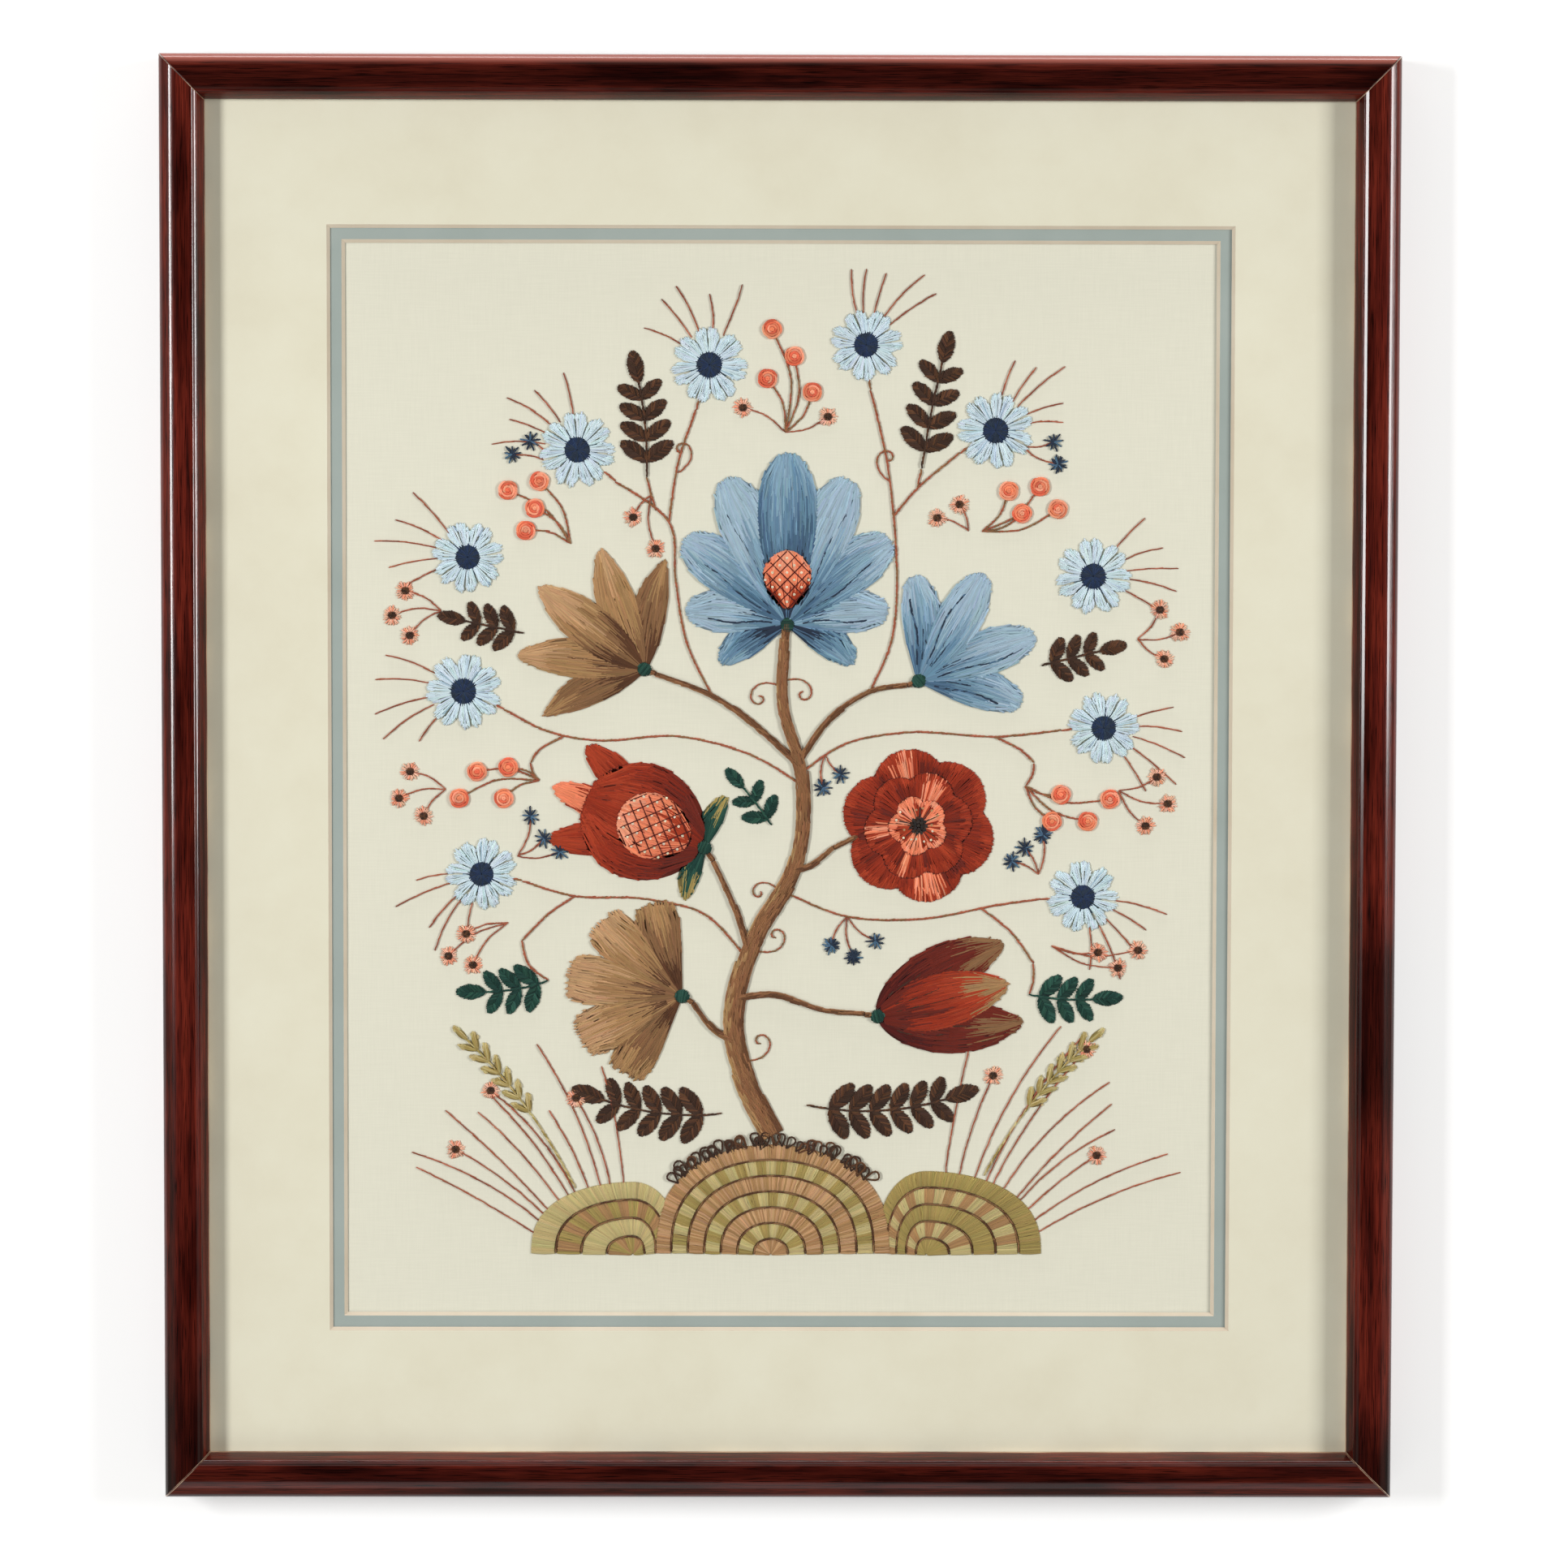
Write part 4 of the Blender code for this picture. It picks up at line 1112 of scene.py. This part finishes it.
# Trunk, branches and tendrils, with short joins that tuck under the blooms
JOINS = (
    (2.4, ((-39, -100), (-42, -98.4))),
    (2.4, ((38, -105), (41.5, -105.6))),
    (2.4, ((-30, -36), (-32.4, -32.6))),
    (2.4, ((24, -30), (35, -24.5))),
    (2.4, ((-56, 48), (-58.6, 49.1))),
    (2.4, ((57, 43), (59.5, 44.1))),
    (1.3, ((-116, -45), (-121, -43.6))),
    (1.3, ((-124, 32), (-129, 35))),
    (1.3, ((-112, 8), (-111, 3), (-108, 0))),
    (1.3, ((117, -53), (122, -53))),
    (1.3, ((126, 23), (131, 23.4))),
    (1.3, ((114, 8), (113, 2), (110, -2))),
    (1.3, ((-74, 134), (-79, 138.5))),
    (1.3, ((-38, 166), (-36, 172))),
    (1.3, ((40, 175), (39, 181))),
    (1.3, ((80, 147), (84, 149.5))),
    (1.3, ((61, 131), (63, 140))),
    (1.3, ((-56, 121), (-60, 136))),
    (1.3, ((114, -82), (114, -90), (112, -96))),
    (1.3, ((-116, -72), (-113, -83), (-104, -90))),
)
work = Needlework()
for start_width, end_width, points in [*BRANCHES, *((w, w, p) for w, p in JOINS)]:
    line = smooth(points)
    distance = np.linspace(0, line_length(line), 24)
    half_width = np.linspace(start_width, end_width, 24) * 0.36
    line_outline = np.concatenate([along(line, distance, half_width),
                                   along(line, distance[::-1], -half_width[::-1])])
    if start_width > 2:
        work.pad(line_outline, linear(DEEP_BARK) * PAD_PAINTED_SHADE)
    if start_width > 5:
        trunk(work, line, start_width, end_width, (DEEP_BARK, BARK, BARK, TAN))
    elif start_width > 2:
        trunk(work, line, start_width, end_width, (DEEP_BARK, BARK), stitch=5.0)
    else:
        stem_line(work, line, (STALK, STALK, BARK))
for row in TENDRILS:
    stem_line(work, tendril(*row), (STALK, STALK, BROWN_TAN), stitch=2.6, slant=0.12, width=0.72)
work.piece("branches_stitches", ["branches"], wool)

# Blooms seen from the side, with their hearts
# The space between the threads of a trellis
TRELLIS = 4.6
# Folds: their shades, then side, reach up the petal and width of each
FOLDS = {
    "palmette": ((NAVY, NAVY, DEEP_BLUE), ((0.42, 0.8, 0.8), (-0.2, 0.4, 0.6), (0.0, 0.5, 0.6))),
    "bell": ((NAVY, NAVY, DEEP_BLUE), ((0.42, 0.8, 0.8), (-0.2, 0.4, 0.6), (0.0, 0.5, 0.6))),
    "lily": ((CHOCOLATE,), ((0.0, 0.62, 0.55), (0.3, 0.42, 0.5), (-0.3, 0.42, 0.5))),
    "carnation": ((CHOCOLATE,), ((0.0, 0.55, 0.55), (0.3, 0.42, 0.5), (-0.3, 0.42, 0.5))),
    "tulip": ((DARK_BROWN, DEEP_MAROON), ((0.0, 0.66, 0.6), (0.4, 0.5, 0.55), (-0.4, 0.5, 0.55))),
}
for name, (x, y, heading, size, kind) in BLOOMS.items():
    work = Needlework()
    petals = PETALS[kind]
    shapes = [((x, y), math.radians(heading + turn), size * length, size * width, math.radians(bend), root, tip)
              for turn, length, width, bend, root, tip, shades in petals]
    outlines = [blade(*shape) for shape in shapes]
    above = [disc(x, y, CUP_RADIUS)]
    angle = math.radians(heading)
    heart_row = BLOOM_HEARTS.get(name)
    if heart_row:
        heart_name, length, width, *heart_swell = heart_row
        foot = turned(np.array([2 * CUP_RADIUS, 0.0]), x, y, angle)
        heart_size = (size * length - 2 * CUP_RADIUS, size * width)
        heart = blade(foot, angle, *heart_size, 0.0, *heart_swell)
        above.append(heart)
    for number, shape in enumerate(shapes):
        petal(work, *shape, petals[number][-1], [*outlines[number + 1:], *above], level=0.05 * (number // 2),
              ragged=1.4 if kind == "carnation" else 0.7)
    # Dark folds up each long petal, one beside its middle and two short ones at its root
    for number, (turn, length, width, bend, root, tip, shades) in enumerate(petals):
        if kind == "pomegranate" or length < 0.55:
            continue
        for side, last, thick in FOLDS[kind][1]:
            u = np.linspace(0.14, last, 16)
            wave = 1 + 0.25 * np.sin(9 * u + number)
            reach = swell(u, root, tip) * width * size / 2 * side * wave * (1 if number % 2 else -1)
            vein = turned(bent(u, reach, size * length, math.radians(bend)), x, y, math.radians(heading + turn))
            stem_line(work, vein, FOLDS[kind][0], stitch=4.0, slant=0.1, width=thick, level=0.6,
                      clear=[*outlines[number + 1:], *above])
    # The cup that holds the petals
    offset = np.linspace(-CUP_RADIUS + 0.3, CUP_RADIUS - 0.3, 9)
    reach = np.sqrt(CUP_RADIUS ** 2 - offset ** 2)
    start = turned(np.stack([offset, -reach], -1), x, y, angle)
    stop = turned(np.stack([offset, reach], -1), x, y, angle)
    work.straight(start, stop, mixed((DARK_GREEN, GREEN), 9), level=0.5)
    work.pad(disc(x, y, CUP_RADIUS - 0.3), linear(DARK_GREEN) * PAD_PAINTED_SHADE)
    work.piece(name + "_stitches", [name], wool)
    if heart_row:
        work = Needlework()
        # Its stitches swell as the topmost petal does
        petal(work, foot, angle, *heart_size, 0.0, *petals[-1][4:6], (PALE_CORAL, CORAL, CORAL, BRIGHT_RUST),
              level=0.1, row_length=7.5)
        # Trellis of laid threads with a small knot in each space
        reach = max(heart_size)
        lines = np.arange(-reach, reach, TRELLIS)
        middle = turned(np.array([reach / 2, 0.0]), *foot, angle)
        for slope in (math.radians(45), math.radians(-45)):
            begin = turned(np.stack([lines, 0 * lines - reach], -1), *middle, angle + slope)
            end = turned(np.stack([lines, 0 * lines + reach], -1), *middle, angle + slope)
            begin, end, kept = trimmed(begin, end, within=heart)
            work.straight(begin, end, dyed((DEEP_MAROON,), np.zeros(kept.sum(), int)), 0.5, heart, level=0.5)
        grid = np.stack(np.meshgrid(lines + TRELLIS / 2, lines + TRELLIS / 2), -1).reshape(-1, 2)
        spots = turned(grid, *middle, angle + math.radians(45))
        spots = spots[inside(spots, heart)]
        spots = spots[depth_in(spots, heart) > 1.2]
        work.knots(spots, 0.35, (CREAM,), level=0.75, width=0.62)
        work.piece(heart_name + "_stitches", [heart_name], wool)

# Rose: rings of petals, flamed with coral, and a dark heart with cream stamens
ROSE_SHADES = {
    "rose_outer": (BRIGHT_RUST, RUST, RUST, DEEP_RUST, MAROON),
    "rose_inner": (RUST, BRIGHT_RUST, RUST, DEEP_RUST, MAROON),
    "rose_heart": (CORAL, PALE_CORAL, CORAL, BRIGHT_RUST, RUST),
}
ROSE_FLAMES = {"rose_outer": (1, 4), "rose_inner": (0, 2, 3), "rose_heart": ()}
rings = list(ROSE.items())
rose_centre = np.array(ROSE_CENTRE, float)
for index, (name, (radius, lobes, notch, turn)) in enumerate(rings):
    work = Needlework()
    outline = lobed(*ROSE_CENTRE, radius, lobes, notch, turn)
    clear = []
    inner = 3.0
    if index + 1 < len(rings):
        clear = [lobed(*ROSE_CENTRE, *rings[index + 1][1])]
        inner = rings[index + 1][1][0] * 0.78
    phases = rng.uniform(0, 2 * math.pi, 3)

    def petal_colours(share, angle):
        wave = sum(np.sin(n * angle + p) for n, p in zip((3, 8, 17), phases)) / 3
        fold = 1 - np.abs(np.sin(lobes * (angle - turn) / 2))
        tone = share + 0.35 * wave + 0.5 * np.maximum(fold - 0.5, 0)
        colours = dyed(ROSE_SHADES[name], shade_at(tone, ROSE_SHADES[name]))
        lobe = ((angle - turn) * lobes / (2 * math.pi)) % lobes
        flamed = np.isin(lobe.astype(int), ROSE_FLAMES[name])
        reach = 0.07 + 0.22 * share + 0.05 * np.sin(19 * angle) + rng.normal(0, 0.05, len(share))
        tongue = np.abs(lobe % 1 - 0.5 - 0.08 * np.sin(5 * angle)) < reach
        lit = flamed & tongue & (share > 0.1 + 0.2 * rng.random(len(share)))
        colours[lit] = mixed((CORAL, CORAL, PALE_CORAL, BRIGHT_RUST), lit.sum())
        return colours

    rosette(work, rose_centre, lambda a: lobe_reach(a, radius, lobes, notch, turn), inner, petal_colours,
            2, outline, clear, level=0.06 * index, ragged=0.8)
    work.pad(lobed(*ROSE_CENTRE, radius - 0.5, lobes, notch, turn), linear(ROSE_SHADES[name][3]) * PAD_PAINTED_SHADE)
    if index + 1 == len(rings):
        count = 30
        angle = np.arange(count) * 2 * math.pi / count + rng.uniform(-0.08, 0.08, count)
        way = way_of(angle)
        spikes = (5.0 + rng.uniform(0, 4.4, count))[:, None]
        work.straight(rose_centre + way * spikes, rose_centre + way * 1.5, mixed((CHARCOAL, DARK_BROWN), count), 0.6,
                      level=0.62)
        beads = np.arange(0, count, 2)
        work.knots(rose_centre + way[beads] * (spikes[beads] + 0.9), 0.3, (CREAM, LIGHT_TAN), level=0.7, width=0.6)
        scatter = [rose_centre + r * np.array([math.cos(t), math.sin(t)])
                   for r, n in ((0.0, 1), (1.7, 6), (3.4, 11)) for t in np.arange(n) * 2 * math.pi / n + r]
        work.knots(scatter, 0.42, (CHARCOAL, PALE_CHARCOAL, DARK_BROWN), level=0.75, width=0.8)
    work.piece(name + "_stitches", [name], wool)

# Small blue flowers in floss, with navy hearts
for number, (x, y, radius) in enumerate(SMALL_FLOWERS, 1):
    turn = SMALL_TURN * number
    heart_radius = radius * SMALL_HEART
    centre = np.array([x, y], float)
    work = Needlework()
    outline = lobed(x, y, radius, SMALL_LOBES, SMALL_NOTCH, turn)

    # Each lobe is two narrow petals, with a sliver of linen between them
    def petal_gap(angle):
        return np.abs(np.sin(SMALL_LOBES * (angle - turn)))

    def floss_colours(share, angle):
        shades = (PALE_BLUE, PALE_BLUE, LIGHT_BLUE, SOFT_BLUE)
        return dyed(shades, shade_at(0.2 + 0.3 * share + 0.5 * np.maximum(0.5 - petal_gap(angle), 0), shades, 0.16),
                    0.05)

    rosette(work, centre, lambda a: lobe_reach(a, radius, SMALL_LOBES, SMALL_NOTCH, turn) * (0.9 + 0.12 * petal_gap(a)),
            heart_radius * 0.8, floss_colours, 2, outline, thread=FLOSS, ragged=1.4,
            keep_at=lambda share, angle: (petal_gap(angle) > 0.2) | (share < 0.5))
    work.pad(disc(x, y, radius * 0.5), linear(SOFT_BLUE) * PAD_PAINTED_SHADE)
    work.piece(f"flower_{number}_petal_stitches", [f"flower_{number}_petals"], floss)
    work = Needlework()
    edge = disc(x, y, heart_radius + 1)
    for count, outer, nearer, level in ((38, 1.0, 0.35, 0.22), (20, 0.62, 0.0, 0.34)):
        angle = np.arange(count) * 2 * math.pi / count + rng.uniform(0, 1)
        way = way_of(angle)
        tips = (heart_radius * outer + rng.uniform(-0.6, 1.1, count))[:, None]
        work.straight(centre + way * tips, centre + way * heart_radius * nearer, mixed((NAVY, INK_BLUE), count),
                      outline=edge, level=level)
    work.pad(disc(x, y, heart_radius - 0.4), linear(NAVY) * PAD_PAINTED_SHADE)
    work.piece(f"flower_{number}_heart_stitches", [f"flower_{number}_heart"], wool)

# Ferns and leaf sprays
for name, (x, y, heading, length, bend, pairs, leaf_length) in SPRAYS.items():
    fern = name.startswith("fern")
    shades = (DARK_BROWN, CHOCOLATE, DARK_BROWN) if fern else (DARK_GREEN, GREEN, DARK_GREEN)
    work = Needlework()
    angle, turn = math.radians(heading), math.radians(bend)
    line = turned(bent(np.linspace(0, 1, 30), 0.0, length, turn), x, y, angle)
    for pair in range(pairs):
        u = LEAF_START + (1 - LEAF_START) * pair / pairs
        foot = turned(bent(u, 0.0, length, turn), x, y, angle)
        size = leaf_length * (1 - 0.2 * pair / pairs)
        for side in (1, -1):
            way = angle + turn * u + side * math.radians(LEAF_SPREAD)
            leaf(work, foot, way, size, size * LEAF_WIDTH, side * 0.3, shades)
    tip = turned(bent(0.96, 0.0, length, turn), x, y, angle)
    leaf(work, tip, angle + turn, leaf_length, leaf_length * LEAF_WIDTH, 0.0, shades)
    stem_line(work, line, shades, level=0.25)
    work.piece(name + "_stitches", [name], wool)

# Wheat
for name, (x, y, heading, length, bend, pairs, grain) in WHEAT.items():
    work = Needlework()
    angle, turn = math.radians(heading), math.radians(bend)
    line = turned(bent(np.linspace(0, 1, 30), 0.0, length, turn), x, y, angle)
    stem_line(work, line, (OLIVE, KHAKI))
    for pair in range(pairs + 1):
        u = GRAIN_START + (1 - GRAIN_START) * pair / pairs
        foot = turned(bent(min(u, 0.99), 0.0, length, turn), x, y, angle)
        for side in (1, -1) if pair < pairs else (0,):
            way = angle + turn * u + side * math.radians(GRAIN_SPREAD)
            petal(work, foot, way, grain, grain * GRAIN_WIDTH, 0.0, 0.7, 0.7, (KHAKI, OLIVE), row_length=9,
                  level=0.1)
    work.piece(name + "_stitches", [name], wool)

# Berries: coils of yarn on short stalks
for name, ((x, y), ends) in BERRIES.items():
    work = Needlework()
    for end in ends:
        stem_line(work, bowed((x, y), end, 0.12), (STALK, BROWN_TAN), width=0.72,
                  clear=[disc(*berry, BERRY_RADIUS - 0.6, 16) for berry in ends])
    for end_x, end_y in ends:
        for radius, arcs, rise in ((3.85, 4, 0.15), (2.75, 3, 0.45), (1.65, 3, 0.75), (0.6, 1, 0.95)):
            sweep = 2 * math.pi / arcs * 1.25
            begin = rng.uniform(0, 2 * math.pi) + np.arange(arcs) * 2 * math.pi / arcs
            share = np.linspace(0, 1, 8)
            angle = begin[:, None] + sweep * share
            coil = radius * (1.06 - 0.14 * share)
            path = np.stack([end_x + coil * np.cos(angle), end_y + coil * np.sin(angle),
                             0.42 + rise + 0.12 * share + 0 * angle], -1)
            work.strands(path, np.full(arcs, 1.25), mixed((CORAL, PALE_CORAL, DEEP_CORAL), arcs), 0.6)
        # Padding in rust, darker than the coral coils, as painted shade between them
        work.pad(disc(end_x, end_y, BERRY_RADIUS - 0.5, 20), linear(RUST))
    work.piece(name + "_stitches", [name], wool)

# Grasses: long single stitches that spread out from behind the small flowers and the hillocks
work = Needlework()
GRASS = (STALK, STALK, PALE_STALK, DEEP_STALK)
# No grass comes nearer to the mat than this from the middle; some end in a blossom
GRASS_ROOM = (184, 229)
TIPPED_GRASSES = (52, 56, 59, 63, 67, 70)
blades = []
tips = []
for number, (x, y, radius) in enumerate(SMALL_FLOWERS):
    outward = math.atan2(y - 60, x)
    for lean in np.linspace(-0.62, 0.62, 5) + rng.uniform(-0.08, 0.08, 5):
        way = outward + lean
        reach = rng.uniform(20, 33) * (1 - 0.35 * abs(lean))
        root = (x + radius * 0.8 * math.cos(way), y + radius * 0.8 * math.sin(way))
        blades.append((root, way, reach, -math.copysign(0.35, x) * rng.uniform(0.4, 1.2)))
for name, spans, lengths in (("hill_left", (168, 96), (40, 78)), ("hill_right", (12, 80), (40, 82))):
    for angle in np.radians(np.linspace(*spans, 11)) + rng.uniform(-0.04, 0.04, 11):
        root = mound_point(np.array([angle]), HILLOCKS[name], 0.97)[0]
        way = math.pi / 2 + (angle - math.pi / 2) * 0.72
        blades.append((root, way, rng.uniform(*lengths), -math.copysign(0.4, root[0]) * rng.uniform(0.3, 1.2)))
flower_outlines = [lobed(x, y, radius - 1.5, SMALL_LOBES, SMALL_NOTCH, SMALL_TURN * n, 42)
                   for n, (x, y, radius) in enumerate(SMALL_FLOWERS, 1)]
hill_outlines = [mound_point(np.linspace(0.01, math.pi - 0.01, 40), hill, 1.0) for hill in HILLOCKS.values()]
for (x, y), way, reach, bend in blades:
    line = turned(bent(np.linspace(0, 1, 12), 0.0, reach, bend), x, y, way)
    room = (np.abs(line) < GRASS_ROOM).all(1)
    line = line[:max(2, int(room.argmin()) if not room.all() else len(line))]
    tips.append(line[-1])
    stem_line(work, line, GRASS, stitch=7.0, slant=0.06, width=0.62, clear=[*flower_outlines, *hill_outlines])
# Stems for the small blossoms and the stars
BLOSSOM_SPRAYS = (
    ((-152, 76), ((-168, 85), (-174, 74), (-166, 65))),
    ((160, 64), ((170, 77), (179, 67), (172, 55))),
    ((-122, -64), ((-141, -69), (-149, -79), (-138, -83))),
    ((122, -74), ((143, -77), (152, -84), (161, -76))),
    ((2, 156), ((-17, 167), (21, 163))),
    ((-150, -4), ((-166, 4), (-171, -8), (-160, -16))),
    ((152, -4), ((169, 2), (174, -10), (164, -20))),
    ((-58, 128), ((-66, 118), (-56, 104))),
    ((84, 112), ((80, 124), (70, 118))),
)
STAR_SPRAYS = (
    ((30, -61), ((23, -74), (33, -79), (43, -72))),
    ((20, 12), ((19, -3), (27, 3))),
    ((-118, -34), ((-106, -26), (-112, -16), (-99, -32))),
    ((116, -42), ((110, -30), (118, -24), (104, -36))),
    ((-100, 140), ((-112, 152), (-120, 146))),
    ((108, 150), ((122, 152), (124, 142))),
)
for root, ends in [*BLOSSOM_SPRAYS, *STAR_SPRAYS]:
    for end in ends:
        stem_line(work, bowed(root, end, 0.1), GRASS, stitch=5.0, slant=0.06, width=0.62, clear=flower_outlines)
work.piece("grass_stitches", [], wool)

# Small pale blossoms with dark knotted hearts, at the ends of their stems and of some grasses
work = Needlework()
spots = [end for root, ends in BLOSSOM_SPRAYS for end in ends] + [tips[n] for n in TIPPED_GRASSES]
count = 22
for x, y in spots:
    angle = np.arange(count) * 2 * math.pi / count + rng.uniform(-0.06, 0.06, count)
    way = way_of(angle)
    reach = rng.uniform(3.5, 4.8, count)[:, None]
    work.straight((x, y) + way * reach, (x, y) + way * 1.4, mixed((PINK, PINK, PALE_CORAL), count), 0.66, level=0.1)
    hearts = [(x, y), *((x, y) + 1.15 * way_of(np.arange(6) * math.pi / 3))]
    work.knots(hearts, 0.36, (DARK_BROWN, CHOCOLATE, DARK_BROWN), level=0.5, width=0.72)
work.piece("blossom_stitches", [], wool)

# Navy stars: a few straight stitches crossing at the middle
work = Needlework()
count = 9
for x, y in [end for root, ends in STAR_SPRAYS for end in ends]:
    for level, reach in ((0.1, 4.4), (0.35, 3.6)):
        way = way_of(np.arange(count) * 2 * math.pi / count + rng.uniform(0, 1))
        work.straight((x, y) + way * rng.uniform(0.8, 1.1, count)[:, None] * reach, (x, y) - way * 0.4,
                      mixed((NAVY, DEEP_BLUE, NAVY), count), 0.8, level=level)
work.piece("star_stitches", [], wool)

# Loops of brown yarn along the top of the middle hillock
work = Needlework()
count = 44
angle = np.linspace(math.radians(38), math.radians(142), count) + rng.uniform(-0.02, 0.02, count)
foot = mound_point(angle, HILLOCKS["hill_middle"], 1.0) + np.stack([0 * angle, rng.uniform(-3, -0.4, count)], -1)
way = math.pi / 2 + (angle - math.pi / 2) * 0.8 + rng.uniform(-0.6, 0.6, count)
reach = rng.uniform(4.6, 7.4, count)
share = np.linspace(0, 1, 11)
loop = np.stack([reach[:, None] * np.sin(math.pi * share) ** 0.8,
                 0.30 * reach[:, None] * np.sin(2 * math.pi * share)], -1)
c, s = np.cos(way)[:, None], np.sin(way)[:, None]
path = np.stack([foot[:, None, 0] + c * loop[..., 0] - s * loop[..., 1],
                 foot[:, None, 1] + s * loop[..., 0] + c * loop[..., 1],
                 0.4 + rng.uniform(0, 0.35, count)[:, None] + 0.2 * np.sin(math.pi * share)], -1)
work.strands(path, np.full(count, 0.95), mixed((DARK_BROWN, CHOCOLATE, DARK_BROWN), count), 0.8)
work.piece("loop_stitches", [], wool)


# Stage

# A plain pale floor, just under the back of the frame
deselect()
bpy.ops.mesh.primitive_plane_add(size=8, location=(0, 0, -0.0003))
floor = bpy.context.object
floor.name = "floor"
pale, tree, shader = new_finish("pale floor")
for socket, value in (("Base Color", (0.75, 0.75, 0.75, 1)), ("Roughness", 0.95), ("Specular IOR Level", 0.1),
                      ("Emission Color", (1, 1, 1, 1)), ("Emission Strength", 0.4)):
    shader.inputs[socket].default_value = value
floor.data.materials.append(pale)


def softbox(name, location, aim, size, power):
    """A broad soft light: its place and aim and its size in metres, and its power in watts."""
    light = bpy.data.lights.new(name, "AREA")
    light.shape = "RECTANGLE"
    light.size, light.size_y = size
    light.energy = power
    lamp = bpy.data.objects.new(name, light)
    lamp.location = location
    lamp.rotation_mode = "QUATERNION"
    lamp.rotation_quaternion = (Vector(location) - Vector(aim)).to_track_quat("Z", "Y")
    bpy.context.scene.collection.objects.link(lamp)


softbox("left softbox", (-2.2, 0.36, 1.82), (-0.1, 0.36, 0), (1.03, 0.42), 55)
softbox("right softbox", (2.2, 0.4, 1.3), (0.1, 0.4, 0), (0.94, 0.6), 42)
softbox("top softbox", (0.0, 1.65, 0.14), (0, 0.3, 0.02), (2.4, 0.2), 16)
softbox("bottom softbox", (-0.3, -1.9, 1.75), (0, -0.1, 0), (2.6, 1.3), 11)
world = bpy.data.worlds.new("studio")
bpy.context.scene.world = world
world.use_nodes = True
tree = world.node_tree
# A dark room overhead, and pale walls lower down
up = node(tree, "ShaderNodeSeparateXYZ")
tree.links.new(node(tree, "ShaderNodeTexCoord").outputs["Generated"], up.inputs[0])
walls = ramp(tree, up.outputs["Z"], ((0.0, (163, 159, 149)), (0.5, (155, 151, 141)), (0.75, (48, 48, 48))))
tree.links.new(walls, tree.nodes["Background"].inputs["Color"])
bpy.context.scene.view_settings.view_transform = "Standard"

# A long lens high above the panel, a little off the square
camera = bpy.data.cameras.new("camera")
camera.sensor_width = 36
camera.lens = 112.13
view = bpy.data.objects.new("camera", camera)
view.location = (-0.0112, 0.1132, 2.2)
view.rotation_euler = (math.radians(-3.003), math.radians(-0.342), math.radians(0.103))
bpy.context.scene.collection.objects.link(view)
bpy.context.scene.camera = view
